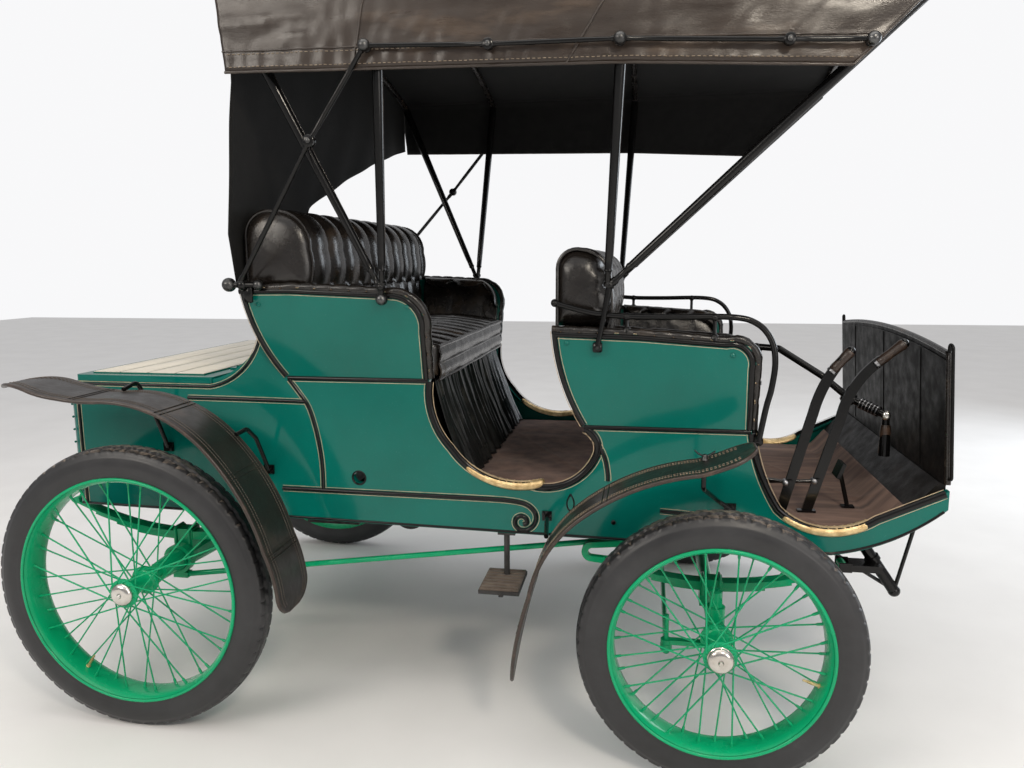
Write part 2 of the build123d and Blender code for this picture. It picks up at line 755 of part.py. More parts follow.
def front_fenders():
    """A leather fender, round at its upper front end and drawn to a leaf point below."""
    y = TRACK / 2
    w = FRONT_FENDER_W
    hub = WHEELBASE
    axle = FRONT_TYRE_R
    edges = path_edges((hub + 62, axle + 502), [
        ((hub + 12, axle + 476), (hub - 60, axle + 449)),
        ((hub - 200, axle + 411), (hub - 327, axle + 337)),
        ((hub - 409, axle + 248), (hub - 457, axle + 125)),
        ((hub - 489, axle + 2), (hub - 509, axle - 125)),
    ])
    band = strip_solid(edges, Side.LEFT, y, w)
    front = hub + 64
    plan = make_face(Wire([
        Line((hub - 600, y - w / 2), (front - 55, y - w / 2)),
        ThreePointArc((front - 55, y - w / 2), (front - 14, y - w * 0.36), (front, y)),
        ThreePointArc((front, y), (front - 14, y + w * 0.36), (front - 55, y + w / 2)),
        Line((front - 55, y + w / 2), (hub - 600, y + w / 2)),
        Line((hub - 600, y + w / 2), (hub - 600, y - w / 2)),
    ]))
    band = band & extrude(plan, amount=1300)
    low = axle - 130
    leaf = make_face(Wire([
        ThreePointArc((y, low), (y + 0.34 * w, low + 110), (y + w / 2, low + 240)),
        Line((y + w / 2, low + 240), (y + w / 2, 1300)),
        Line((y + w / 2, 1300), (y - w / 2, 1300)),
        Line((y - w / 2, 1300), (y - w / 2, low + 240)),
        ThreePointArc((y - w / 2, low + 240), (y - 0.34 * w, low + 110), (y, low)),
    ]))
    return both(band & along(leaf, hub - 700, hub + 200))


def stay(points, side_x, side_z):
    """A bent rod from a plate on the body side to the fender."""
    y = HALF_W + FIT
    rod = tube_path([(side_x, y + 6, side_z)] + points, 6, 14)
    plate = cut_box(side_x - 15, side_x + 15, y, y + 6, side_z - 13, side_z + 13)
    return rod + plate


def fender_stays():
    """Bent rods that carry the fenders from the body sides."""
    inner = TRACK / 2 - REAR_FENDER_W / 2
    axle = REAR_TYRE_R
    rear = stay([(-6, HALF_W + 57.5, axle + 470), (-20, inner - 20, axle + 549), (-30, inner + 24, axle + 534.7)],
                0, axle + 345)
    middle = stay([(309, HALF_W + 67.5, axle + 395), (304, inner - 12, axle + 429), (292, inner + 24, axle + 420.7)],
                  310, axle + 290)
    hub = WHEELBASE
    top = FRONT_TYRE_R
    front = stay([(hub + 6, HALF_W + 26, top + 312), (hub - 44, TRACK / 2 - 50, top + 380),
                  (hub - 44, TRACK / 2 - 50, top + 443)], hub + 36, top + 289)
    y = HALF_W + FIT
    bolt = (hub - 441, y + 3, top + 244)
    tail = bar(bolt, (hub - 424, TRACK / 2 - 45, top + 241), 6)
    tail = tail + cut_box(bolt[0] - 13, bolt[0] + 13, y, y + 6, bolt[2] - 13, bolt[2] + 13)
    return both(rear) + both(middle) + both(front) + both(tail)


def body_low_z(x):
    """The height of the body side's lower edge."""
    return BODY_Z_BACK + (BODY_Z_FRONT - BODY_Z_BACK) * (x - BODY_BACK) / (1840 - BODY_BACK)


def steps():
    y = HALF_W - SIDE_T / 2
    x = 995
    top = body_low_z(x) - 1
    stem = bar((x, y, top), (x, y, 400), 8)
    flange = cut_box(x - 24, x + 24, y - 10, y + 10, top - 6, top)
    pad = cut_box(x - 60, x + 50, y - 45, y + 105, 392, 402)
    rib = cut_box(x - 6, x + 6, y - 40, y + 100, 384, 394)
    return both(fuse([stem, flange, pad, rib]))


def engine_block():
    """The engine as one plain block with its pan and the two bearers that rest in the body."""
    block = cut_box(-60, 420, -240, 240, 512, 800)
    pan = cut_box(250, 430, -150, 150, 400, 512)
    bearers = [cut_box(x, x + 40, -INNER, INNER, 562, 586) for x in (60, 375)]
    return [fuse([block, pan] + bearers)]


def muffler():
    x = 655
    z = 505
    drum = Pos(x, -20, z) * Rot(X=90) * Cylinder(55, 560)
    parts = [drum]
    top = FLOOR_BACK_Z - FLOOR_T - FIT
    for y in (-230, 190):
        parts.append(Pos(x, y, z) * Rot(X=90) * Cylinder(58, 24))
        parts.append(cut_box(x - 4, x + 4, y - 12, y + 12, z + 50, top))
        parts.append(cut_box(x - 26, x + 26, y - 12, y + 12, top - 5, top))
    return [fuse(parts)]


CASING_R0 = 58
CASING_R1 = 27
CASING_Y0 = 60
CASING_Y1 = KING_Y
CLAMP_Y = SPRING_Y + 45


def casing_r(y):
    return CASING_R0 + (CASING_R1 - CASING_R0) * (y - CASING_Y0) / (CASING_Y1 - CASING_Y0)


def frame_bars():
    """Radius rods from clamps on the rear axle to hangers under the front floor."""
    y = CLAMP_Y
    axle = REAR_TYRE_R
    bore = casing_r(y - 13) + FIT
    clamp = Pos(0, y, axle) * Rot(X=90) * (Cylinder(bore + 10, 26) - Cylinder(bore, 30))
    head = cut_box(-16, 30, y - 13, y + 13, axle - bore - 22, axle - bore - 6)
    front = (1290, SPRING_Y - 34, 497)
    rod = bar((24, y, axle - bore - 14), front, 8)
    eye = Pos(*front) * Rot(X=90) * Cylinder(14, 22)
    hanger = cut_box(front[0] - 11, front[0] + 11, front[1] - 10, front[1] + 10, front[2],
                     FLOOR_FRONT_Z - FLOOR_T - FIT)
    return both(fuse([clamp, head, rod, eye, hanger]))


SPRING_LINES = (
    # end behind, lowest point on the upper face, end in front
    ((1290, 450), (WHEELBASE, FRONT_TYRE_R + 67), (1882, 475)),
    ((-352, 548), (0, REAR_TYRE_R + 74), (350, 545)),
)


def front_axle():
    """A round beam with forked ends, kingpins and pads for the springs."""
    x = WHEELBASE
    z = FRONT_TYRE_R
    parts = [bar((x, -KING_Y + 34, z), (x, KING_Y - 34, z), 19)]
    pad_top = SPRING_LINES[0][1][1] - LEAVES * LEAF_T - FIT
    for side in (-1, 1):
        y = side * KING_Y
        inner = sorted((y - side * 34, y + side * 14))
        post = sorted((y - side * 62, y - side * 34))
        parts.append(Pos(x, y, z) * Cylinder(KING_R - PIN_GAP, 200))
        parts.append(cut_box(x - 15, x + 15, *inner, z + 62, z + 84))
        parts.append(cut_box(x - 15, x + 15, *inner, z - 84, z - 62))
        parts.append(cut_box(x - 15, x + 15, *post, z - 84, z + 84))
        seat = side * SPRING_Y
        parts.append(cut_box(x - 30, x + 30, seat - 22, seat + 22, z, pad_top))
    return [fuse(parts)]


def rear_axle():
    """A round gear case with tapered arms, the shaft and pads for the springs."""
    z = REAR_TYRE_R
    parts = [Pos(0, 0, z) * Sphere(100)]
    shaft = TRACK / 2 + SPINDLE_OUT
    parts.append(bar((0, -shaft, z), (0, shaft, z), BORE_R - PIN_GAP))
    pad_top = SPRING_LINES[1][1][1] - LEAVES * LEAF_T - FIT
    for side in (-1, 1):
        parts.append(tapered((0, side * CASING_Y0, z), (0, side * CASING_Y1, z), CASING_R0, CASING_R1))
        seat = side * SPRING_Y
        parts.append(cut_box(-30, 30, seat - 22, seat + 22, z, pad_top))
    return [fuse(parts)]


def leaf_pack(line, y):
    """Curved leaves that get shorter downwards, with an eye at each end and a clip plate on top."""
    cx, cz, r = circle_of(line)
    ends = [math.atan2(z - cz, x - cx) for x, z in line]
    parts = []
    for k in range(LEAVES):
        share = 1 - 0.2 * k
        a0 = ends[1] + (ends[0] - ends[1]) * share
        a1 = ends[1] + (ends[2] - ends[1]) * share
        am = (a0 + a1) / 2

        def at(angle, radius):
            return (cx + radius * math.cos(angle), cz + radius * math.sin(angle))

        r0 = r + LEAF_T * k
        r1 = r0 + LEAF_T
        face = outline(at(a0, r0), [(at(am, r0), at(a1, r0)), at(a1, r1), (at(am, r1), at(a0, r1))])
        parts.append(prism(face, y - SPRING_W / 2, y + SPRING_W / 2))
    for x, z in (line[0], line[2]):
        parts.append(Pos(x, y, z) * Rot(X=90) * Cylinder(EYE_R, SPRING_W))
    x, z = line[1]
    parts.append(cut_box(x - 30, x + 30, y - 22, y + 22, z - LEAVES * LEAF_T, z + 8))
    return parts


def leaf_springs():
    y = SPRING_Y
    front, rear = SPRING_LINES
    shackle = prism(outline((1325, 512), [
        (1222, 500),
        ((1198, 472), (1222, 445)),
        (1290, 439),
        (1290, 457),
        (1228, 461),
        ((1216, 472), (1228, 484)),
        (1325, 494),
    ]), y - 9, y + 9)
    hanger = cut_box(1304, 1328, y - 12, y + 12, 498, FLOOR_FRONT_Z - FLOOR_T - FIT)
    horn_x = BODY_BACK - FIT
    x_rear, z_rear = rear[0]
    horn = cut_box(horn_x - 7, horn_x, y - 14, y + 14, 560, 600)
    horn_arm = bar((horn_x - 6, y, 580), (x_rear, y, z_rear), 8)
    x_mid, z_mid = rear[2]
    lug = cut_box(x_mid - 14, x_mid + 14, y - 12, INNER, z_mid + 18, z_mid + 46)
    link = bar((x_mid, y, z_mid), (x_mid, y, z_mid + 24), 8)
    return both(fuse(leaf_pack(front, y) + [shackle, hanger])) + both(
        fuse(leaf_pack(rear, y) + [horn, horn_arm, lug, link]))


def steering_bracket():
    """A braced arm under each side of the bow, whose fork holds the front spring's eye."""
    y = SPRING_Y - 15
    low = (2019, y, 405)
    under = FLOOR_FRONT_Z - FLOOR_T - FIT
    arm = bar((1921, y, 548), low, 15)
    cap = cut_box(1900, 1942, y - 20, y + 20, under - 12, under)
    clamp = bar((1957, y, 496), (1964, y, 485), 19)
    aside = y - 24
    back_strut = bar((low[0], y - 8, low[2]), (1760, aside, under - 3), 5)
    back_foot = cut_box(1746, 1774, aside - 12, aside + 12, under - 6, under)
    front_strut = bar(low, (2064, y, 612), 5)
    eye_x, eye_z = SPRING_LINES[0][2]
    fork = [cut_box(eye_x + 16, 1975, SPRING_Y - 28, SPRING_Y + 28, eye_z - 9, eye_z + 9)]
    for side in (-1, 1):
        inner = SPRING_Y + side * (SPRING_W / 2 + FIT)
        outer = inner + side * 7
        fork.append(cut_box(eye_x - 12, eye_x + 20, min(inner, outer), max(inner, outer), eye_z - 12, eye_z + 12))
    return both(fuse([arm, cap, clamp, back_strut, back_foot, front_strut, ball(low, 16)] + fork))


LEVERS = (
    # y, foot x, top of the straight, a point on the bend, end of the bend, end of the grip
    (HALF_W - 150, 1804, (1880, 850), (1912, 938), (1968, 1004), (2024, 1050)),
    (HALF_W - 110, 1727, (1800, 866), (1820, 932), (1850, 990), (1884, 1032)),
)
LEVER_RODS = (
    # z at the lever, z at the seat board
    (672, 662),
    (676, 692),
)


def hand_levers():
    """Two flat levers with round grips, their rods to the seat board, and a pedal."""
    parts = []
    floor = FLOOR_FRONT_Z + MAT_T + FIT
    for (y, foot, straight, bend, end, grip), (z_rod, z_board) in zip(LEVERS, LEVER_RODS):
        y = -y
        path = Wire([Line((foot, floor), straight), ThreePointArc(straight, bend, end)])
        face = make_face(path.offset_2d(LEVER_W / 2, side=Side.BOTH, closed=True))
        face = face & Pos(foot, floor + 400) * Rectangle(600, 800)
        blade = prism(face, y - LEVER_T / 2, y + LEVER_T / 2)
        x_rod = foot + (straight[0] - foot) * (z_rod - floor) / (straight[1] - floor)
        board = FRONT_SEAT_FRONT - 26 + FIT
        parts.append(fuse([
            blade,
            tapered((end[0] - 12, y, end[1] - 12), (grip[0], y, grip[1]), 11, 13),
            ball((grip[0], y, grip[1]), 13),
            cut_box(foot - 24, foot + 24, y - 10, y + 10, floor, floor + 6),
            Pos(x_rod, y, z_rod) * Rot(X=90) * Cylinder(9, 22),
            bar((x_rod, y, z_rod), (board, y, z_board), 5),
        ]))
    y = -HALF_W + 210
    parts.append(fuse([
        bar((1925, y, floor + 3), (1900, y, 690), 6),
        cut_box(1908, 1942, y - 12, y + 12, floor, floor + 5),
        Pos(1898, y, 692) * Rot(Y=20) * Box(10, 60, 44),
    ]))
    return parts


def tiller():
    """A post in front of the seat whose bent handle is folded forward."""
    x = TILLER_X
    y = TILLER_Y
    floor = FLOOR_FRONT_Z + MAT_T + FIT
    grip = (x + 335, y - 150, 838)
    post = bar((x, y, floor), (x, y, 1000), 14)
    foot = Pos(x, y, floor + 5) * Cylinder(30, 10)
    handle = tube_path([(x, y, 970), (x, y, 1010), (x + 60, y - 28, 1008), (x + 175, y - 72, 936),
                        (x + 250, y - 92, 874), grip, (grip[0], grip[1] - 4, 760)], 10, 11)
    knuckle = bar((x + 232, y - 88, 886), (x + 262, y - 95, 868), 16)
    knurled = bar((x + 275, y - 106, 864), (x + 320, y - 138, 845), 15)
    hand = tapered((grip[0], grip[1] - 2, 808), (grip[0], grip[1] - 5, 724), 13, 15)
    return [fuse([post, foot, ball((x, y, 1004), 17), handle, knuckle, knurled, hand])]


def knuckle(side):
    """The stub axle that turns on the kingpin, with its steering arm."""
    y = side * KING_Y
    x = WHEELBASE
    z = FRONT_TYRE_R
    boss = Pos(x, y, z) * (Cylinder(24, 120) - Cylinder(KING_R, 200))
    spindle = bar((x, y + side * 19, z), (x, side * (TRACK / 2 + SPINDLE_OUT), z), BORE_R - PIN_GAP)
    shoulder = bar((x, y + side * 19, z), (x, side * (TRACK / 2 - HUB_IN - 1), z), 21)
    arm = cut_box(x - ARM_LEN, x - 20, y - 10, y + 10, TIE_Z - 6, TIE_Z + 6)
    eye = Pos(x - ARM_LEN, y, TIE_Z) * Cylinder(14, 12)
    hole = Pos(x - ARM_LEN, y, TIE_Z) * Cylinder(6, 40)
    return [fuse([boss, spindle, shoulder, arm, eye]) - hole]


def tie_rod():
    """The rod between the steering arms, with its ball ends and the upright link pin on the right."""
    x = WHEELBASE - ARM_LEN
    top = TIE_Z - 6 - FIT
    parts = [bar((x, -KING_Y, top - 9), (x, KING_Y, top - 9), 7)]
    for y, pin_r, rise in ((-KING_Y, 6 - PIN_GAP, 78), (KING_Y, 4, 18)):
        parts.append(Pos(x, y, top - 8) * Cylinder(15, 16))
        parts.append(Pos(x, y, top - 10 + (rise + 10) / 2) * Cylinder(pin_r, rise + 10))
        parts.append(ball((x, y, top - 18), 11))
    return [fuse(parts)]


def spoke(k, rim_in):
    """One of the crossed spokes: neighbours lead opposite ways and leave from opposite flanges."""
    side = 1 if k % 2 else -1
    way = 1 if (k // 2) % 2 else -1
    hub_turn = math.radians(360 * k / SPOKES + way * SPOKE_LEAD)
    rim_turn = math.radians(360 * k / SPOKES)
    z_hub = side * FLANGE_AT + way * (FLANGE_T / 2 + 1)
    z_rim = side * 9 + way * 3.5
    p = Vector(SPOKE_AT_HUB * math.cos(hub_turn), SPOKE_AT_HUB * math.sin(hub_turn), z_hub)
    reach = rim_in + 3
    q = Vector(reach * math.cos(rim_turn), reach * math.sin(rim_turn), z_rim)
    place = Plane(origin=p, x_dir=Vector(0, 0, 1).cross(q - p), z_dir=q - p)
    return extrude(place * Rectangle(SPOKE_SIDE, SPOKE_SIDE), amount=(q - p).length)


def wheel(rim_r, cap_out):
    """Rim, crossed spokes, flanged hub and domed cap, with the axis along Z and the cap outside."""
    rim_in = rim_r - RIM_T
    flats = Rot(0, 0, 180 / SPOKES) * RegularPolygon(rim_in, SPOKES, major_radius=False)
    bed = extrude(Plane.XY.offset(-RIM_W) * flats, amount=2 * RIM_W)
    rim = Cylinder(rim_r, RIM_W) - bed
    hub = Pos(0, 0, (CAP_BACK - HUB_IN) / 2 + 2) * Cylinder(HUB_R, CAP_BACK + HUB_IN + 4)
    parts = [hub]
    for z in (-FLANGE_AT, FLANGE_AT):
        parts.append(Pos(0, 0, z) * Cylinder(FLANGE_R, FLANGE_T))
    cap = revolve(Plane.XZ * make_face(Wire([
        Line((0, CAP_BACK), (CAP_R, CAP_BACK)),
        Line((CAP_R, CAP_BACK), (CAP_R, cap_out - 16)),
        ThreePointArc((CAP_R, cap_out - 16), (22, cap_out - 6), (CAP_BOSS_R, cap_out - 3)),
        Line((CAP_BOSS_R, cap_out - 3), (CAP_BOSS_R, cap_out)),
        Line((CAP_BOSS_R, cap_out), (0, cap_out)),
        Line((0, cap_out), (0, CAP_BACK)),
    ])), Axis.Z)
    parts += [spoke(k, rim_in) for k in range(SPOKES)]
    whole = Solid.fuse(rim.solid(), cap.solid(), *[p.solid() for p in parts])
    bore = Pos(0, 0, (BORE_OUT - HUB_IN) / 2 - 3) * Cylinder(BORE_R, BORE_OUT + HUB_IN + 6)
    return whole - bore


def tyre(tyre_r):
    """A ring of the tyre's profile, which is the same on both sides of its middle."""
    outer = [(tyre_r - depth, w) for w, depth in TYRE_PROFILE]
    points = outer + [(r, -w) for r, w in reversed(outer)]
    return revolve(Plane.XZ * Polygon(*points, align=None), Axis.Z)


WHEEL_TABLE = (
    # name, x, side, tyre radius, cap face beyond the tyre's middle
    ("rear_right", 0, -1, REAR_TYRE_R, REAR_CAP_OUT),
    ("rear_left", 0, 1, REAR_TYRE_R, REAR_CAP_OUT),
    ("front_right", WHEELBASE, -1, FRONT_TYRE_R, FRONT_CAP_OUT),
    ("front_left", WHEELBASE, 1, FRONT_TYRE_R, FRONT_CAP_OUT),
)

PIECES = {
    "body_sides": body_sides,
    "rear_panel": rear_panel,
    "deck_lid": deck_lid,
    "deck_riser": deck_riser,
    "rear_seat_shell": rear_seat_shell,
    "front_seat_shell": front_seat_shell,
    "seat_boxes": seat_boxes,
    "body_floor": body_floor,
    "floor_mats": floor_mats,
    "sill_plates": sill_plates,
    "dash": dash,
    "rear_cushion": rear_cushion,
    "rear_backrest": rear_backrest,
    "front_cushion": front_cushion,
    "front_backrest": front_backrest,
    "seat_skirt": seat_skirt,
    "handrails": handrails,
    "canopy": canopy,
    "rear_curtain": rear_curtain,
    "roof_bows": roof_bows,
    "top_irons": top_irons,
    "rear_fenders": rear_fenders,
    "front_fenders": front_fenders,
    "fender_stays": fender_stays,
    "steps": steps,
    "engine_block": engine_block,
    "muffler": muffler,
    "frame_bars": frame_bars,
    "front_axle": front_axle,
    "rear_axle": rear_axle,
    "leaf_springs": leaf_springs,
    "steering_bracket": steering_bracket,
    "hand_levers": hand_levers,
    "tiller": tiller,
    "knuckle_right": lambda: knuckle(-1),
    "knuckle_left": lambda: knuckle(1),
    "tie_rod": tie_rod,
}


def save(name, solids):
    placed = [Pos(-X_MIDDLE, 0, 0) * s for s in solids]
    flat = []
    for item in placed:
        flat += item.solids()
    shape = flat[0] if len(flat) == 1 else Compound(children=flat)
    export_step(shape, f"parts/{name}.step")


def main():
    os.makedirs("parts", exist_ok=True)
    for name, make in PIECES.items():
        save(name, make())
    for name, x, side, tyre_r, cap_out in WHEEL_TABLE:
        place = Pos(x, side * TRACK / 2, tyre_r) * Rot(X=-90 * side)
        save("wheel_" + name, [place * wheel(tyre_r - TYRE_DEEP, cap_out)])
        save("tyre_" + name, [place * tyre(tyre_r)])


main()
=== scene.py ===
import math

import bmesh
import bpy
from mathutils import Matrix, Vector, noise

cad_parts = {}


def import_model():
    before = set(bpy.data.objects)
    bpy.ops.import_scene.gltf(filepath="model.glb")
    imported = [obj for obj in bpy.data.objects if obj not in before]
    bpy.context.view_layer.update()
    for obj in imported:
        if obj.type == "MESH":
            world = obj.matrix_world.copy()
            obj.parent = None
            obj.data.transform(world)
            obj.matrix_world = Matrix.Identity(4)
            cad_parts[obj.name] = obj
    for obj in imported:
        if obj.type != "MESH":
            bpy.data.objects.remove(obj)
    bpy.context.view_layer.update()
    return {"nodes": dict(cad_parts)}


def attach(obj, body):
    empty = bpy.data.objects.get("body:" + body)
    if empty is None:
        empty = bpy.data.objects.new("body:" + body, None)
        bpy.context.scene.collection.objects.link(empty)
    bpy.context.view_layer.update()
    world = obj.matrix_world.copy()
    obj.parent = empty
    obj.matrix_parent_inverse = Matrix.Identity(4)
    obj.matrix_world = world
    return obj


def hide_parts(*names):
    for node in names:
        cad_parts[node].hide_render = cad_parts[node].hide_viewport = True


# Looks of a horseless carriage with a surrey top. Points are written in millimetres with X
# measured forward from the rear axle; at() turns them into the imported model's metres.

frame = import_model()

# Driving dimensions, the same values as in the part's source
X_MIDDLE = 857.5
TRACK = 1420
WHEELBASE = 1549
REAR_R = 394
FRONT_R = 343
TYRE_DEEP = 80
HALF_W = 510
CANOPY_HALF = 726
CANOPY_Z1 = 1900
CANOPY_CROWN = 90
ROD_Y = 742
POST_Y = 702
ARM_Y = 587
BRACE_Y = 548
RAIL_Y = 522
SPRING_Y = 455
TILLER_X = 1690
TILLER_Y = -100

# A seat's side: the height of its foot and of its top, and how far it leans out
REAR_SEAT = (950, 1200, 65)
FRONT_SEAT = (836, 1088, 22)

# Right is -1 and left is 1
SIDES = (-1, 1)
UP = Vector((0, 0, 1))
BACK = Vector((-1, 0, 0))


def at(x, y, z):
    return Vector(((x - X_MIDDLE) / 1000, y / 1000, z / 1000))


def outward(side):
    return Vector((0, side, 0))


# Curves in X and Z

def circle3(a, b, c):
    """Centre and radius of the circle through three points."""
    (x1, z1), (x2, z2), (x3, z3) = a, b, c
    d = 2 * (x1 * (z2 - z3) + x2 * (z3 - z1) + x3 * (z1 - z2))
    s = [x * x + z * z for x, z in (a, b, c)]
    cx = (s[0] * (z2 - z3) + s[1] * (z3 - z1) + s[2] * (z1 - z2)) / d
    cz = (s[0] * (x3 - x2) + s[1] * (x1 - x3) + s[2] * (x2 - x1)) / d
    return cx, cz, math.dist(a, (cx, cz))


def arc(a, b, c, n=14):
    """Points on the arc from a through b to c."""
    cx, cz, r = circle3(a, b, c)
    t0, t1, t2 = (math.atan2(p[1] - cz, p[0] - cx) for p in (a, b, c))

    def after(t, start, way):
        return (t - start) * way % (2 * math.pi)

    way = 1 if after(t1, t0, 1) < after(t2, t0, 1) else -1
    sweep = after(t2, t0, way) * way
    angles = [t0 + sweep * i / n for i in range(n + 1)]
    return [(cx + r * math.cos(t), cz + r * math.sin(t)) for t in angles]


def run(start, steps, n=14):
    """Points along lines and arcs: a step is an end point, or a point on an arc and its end."""
    points = [start]
    for step in steps:
        if isinstance(step[0], tuple):
            points += arc(points[-1], step[0], step[1], n)[1:]
        else:
            points.append(step)
    return points


def between(t, a, b, c, d):
    """The smooth curve through four numbers, at share t from b to c."""
    square = (2 * a - 5 * b + 4 * c - d) * t * t
    cube = (3 * b - a - 3 * c + d) * t ** 3
    return 0.5 * (2 * b + (c - a) * t + square + cube)


def smooth(points, n=8):
    """A smooth curve through the points, of any number of coordinates."""
    last = len(points) - 1
    out = []
    for i in range(last):
        near = [points[max(0, min(last, i + k))] for k in (-1, 0, 1, 2)]
        for j in range(n):
            out.append(tuple(between(j / n, *four) for four in zip(*near)))
    out.append(tuple(points[-1]))
    return out


def evenly(points, step):
    """The same line with points about step apart."""
    out = [points[0]]
    for a, b in zip(points, points[1:]):
        n = max(1, round(math.dist(a, b) / step))
        out += [tuple(p + (q - p) * i / n for p, q in zip(a, b)) for i in range(1, n + 1)]
    return out


def side_by(points, off):
    """The line moved sideways in its own plane."""
    out = []
    for i, p in enumerate(points):
        a = points[max(0, i - 1)]
        b = points[min(len(points) - 1, i + 1)]
        length = math.dist(a, b) or 1
        out.append((p[0] - (b[1] - a[1]) / length * off, p[1] + (b[0] - a[0]) / length * off))
    return out


def point_along(points, share):
    """The point at a share of a line's length."""
    left = share * sum(math.dist(a, b) for a, b in zip(points, points[1:]))
    for a, b in zip(points, points[1:]):
        d = math.dist(a, b)
        if left <= d + 1e-9:
            return tuple(p + (q - p) * left / d for p, q in zip(a, b))
        left -= d
    return points[-1]


def rounded(share):
    """A quarter round: 0 at 0, rising to 1 at 1."""
    return math.sqrt(max(0.0, share * (2 - share)))


# Meshes

class Shape:
    """Points and faces that become one mesh piece."""

    def __init__(self):
        self.points = []
        self.faces = []

    def grid(self, rows, close_rows=False, close_cols=False):
        base = len(self.points)
        n = len(rows[0])
        for row in rows:
            self.points += row
        for i in range(len(rows) if close_rows else len(rows) - 1):
            for j in range(n if close_cols else n - 1):
                a = base + i * n
                b = base + (i + 1) % len(rows) * n
                k = (j + 1) % n
                self.faces.append((a + j, b + j, b + k, a + k))

    def fan(self, ring, centre):
        base = len(self.points)
        self.points += ring + [centre]
        n = len(ring)
        for i in range(n):
            self.faces.append((base + i, base + (i + 1) % n, base + n))

    def body(self, rings):
        """A closed body over rings of points, with both ends filled."""
        self.grid(rings, close_cols=True)
        for ring in (rings[0], rings[-1]):
            self.fan(ring, sum(ring, Vector()) / len(ring))

    def tube(self, line, radius, sides=12, caps=True, flat=1.0):
        """A round or flattened bar along points; radius is one number, or one for each point."""
        radii = radius if isinstance(radius, (list, tuple)) else [radius] * len(line)
        turns = [2 * math.pi * k / sides for k in range(sides)]
        rows = []
        across = None
        for i, p in enumerate(line):
            way = (line[min(i + 1, len(line) - 1)] - line[max(i - 1, 0)]).normalized()
            if across is None:
                hint = UP if abs(way.z) < 0.9 else -BACK
                across = way.cross(hint).normalized()
            across = (across - way * across.dot(way)).normalized()
            other = way.cross(across)
            r = radii[i] / 1000
            rows.append([p + across * (r * math.cos(t)) + other * (r * flat * math.sin(t)) for t in turns])
        self.grid(rows, close_cols=True)
        if caps:
            self.fan(rows[0], line[0])
            self.fan(rows[-1], line[-1])

    def turned(self, profile, origin, axis, segments=40, close=False):
        """A turned body: profile pairs of radius and place along the axis, in millimetres."""
        axis = axis.normalized()
        hint = -BACK if abs(axis.x) < 0.9 else UP
        u = axis.cross(hint).normalized()
        v = axis.cross(u)
        rows = []
        for k in range(segments):
            t = 2 * math.pi * k / segments
            out = u * math.cos(t) + v * math.sin(t)
            rows.append([origin + axis * (h / 1000) + out * (r / 1000) for r, h in profile])
        self.grid(rows, close_rows=True, close_cols=close)

    def ball(self, centre, r, axis=Vector((0, 1, 0)), segments=20):
        n = segments // 2
        turns = [math.pi * i / n for i in range(n + 1)]
        self.turned([(r * math.sin(t), -r * math.cos(t)) for t in turns], centre, axis, segments)

    def block(self, centre, size, bevel=1.5):
        """A box with broken edges, its sides along the axes, in millimetres."""
        half = [s / 2000 for s in size]
        b = min(bevel / 1000, *[h * 0.45 for h in half])
        rows = []
        for z, inset in ((-half[2], b), (-half[2] + b, 0), (half[2] - b, 0), (half[2], b)):
            x = half[0] - inset
            y = half[1] - inset
            ring = [(-x + b, -y), (x - b, -y), (x, -y + b), (x, y - b),
                    (x - b, y), (-x + b, y), (-x, y - b), (-x, -y + b)]
            rows.append([centre + Vector((p, q, z)) for p, q in ring])
        self.grid(rows, close_cols=True)
        self.fan(rows[0], centre - UP * half[2])
        self.fan(rows[-1], centre + UP * half[2])

    def strip(self, line, section):
        """A section of (across, outward) pairs swept along points with their outward directions."""
        rows = []
        for i, (p, out) in enumerate(line):
            way = (line[min(i + 1, len(line) - 1)][0] - line[max(i - 1, 0)][0]).normalized()
            across = way.cross(out).normalized()
            rows.append([p + across * (a / 1000) + out * (b / 1000) for a, b in section])
        self.body(rows)

    def make(self, name, material, body="carriage", slot=None, replaces=(), angle=40):
        """Turns the shape into a piece that moves with a body."""
        mesh = bpy.data.meshes.new(name)
        mesh.from_pydata([tuple(p) for p in self.points], [], self.faces)
        mesh.validate()
        mesh.update()
        piece = bpy.data.objects.new(name, mesh)
        bpy.context.scene.collection.objects.link(piece)
        mesh.materials.append(material)
        clean(mesh)
        mesh.shade_smooth()
        mesh.set_sharp_from_angle(angle=math.radians(angle))
        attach(piece, body)
        if replaces:
            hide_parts(*replaces)
        return piece


def clean(mesh):
    """Joins doubled points and turns the faces outward."""
    bm = bmesh.new()
    bm.from_mesh(mesh)
    bmesh.ops.remove_doubles(bm, verts=bm.verts, dist=1e-6)
    bmesh.ops.dissolve_degenerate(bm, edges=bm.edges, dist=1e-7)
    bmesh.ops.recalc_face_normals(bm, faces=bm.faces)
    bm.to_mesh(mesh)
    bm.free()


def surface(point, rows, columns):
    """An open grid, its points given by a function of two shares from 0 to 1."""
    shape = Shape()
    shape.grid([[point(i / rows, j / columns) for j in range(columns + 1)] for i in range(rows + 1)])
    return shape


def lumps(a, b, c):
    """Smooth noise from -1 to 1."""
    return noise.noise(Vector((a, b, c)))


def thicken(piece, thickness, offset=0):
    """Gives a sheet its thickness, in metres."""
    mod = piece.modifiers.new("thick", "SOLIDIFY")
    mod.thickness = thickness
    mod.offset = offset
    return mod


# Materials

def fill(tree, node, **inputs):
    """Fills a node's inputs, each with a constant or with another node's output."""
    for name, value in inputs.items():
        socket = node.inputs[name.replace("_", " ")]
        if isinstance(value, bpy.types.NodeSocket):
            tree.links.new(value, socket)
        else:
            socket.default_value = value
    return node


def added(tree, kind, **inputs):
    return fill(tree, tree.nodes.new(kind), **inputs)


def nodes_of(name):
    m = bpy.data.materials.new(name)
    m.use_nodes = True
    return m, m.node_tree, m.node_tree.nodes["Principled BSDF"]


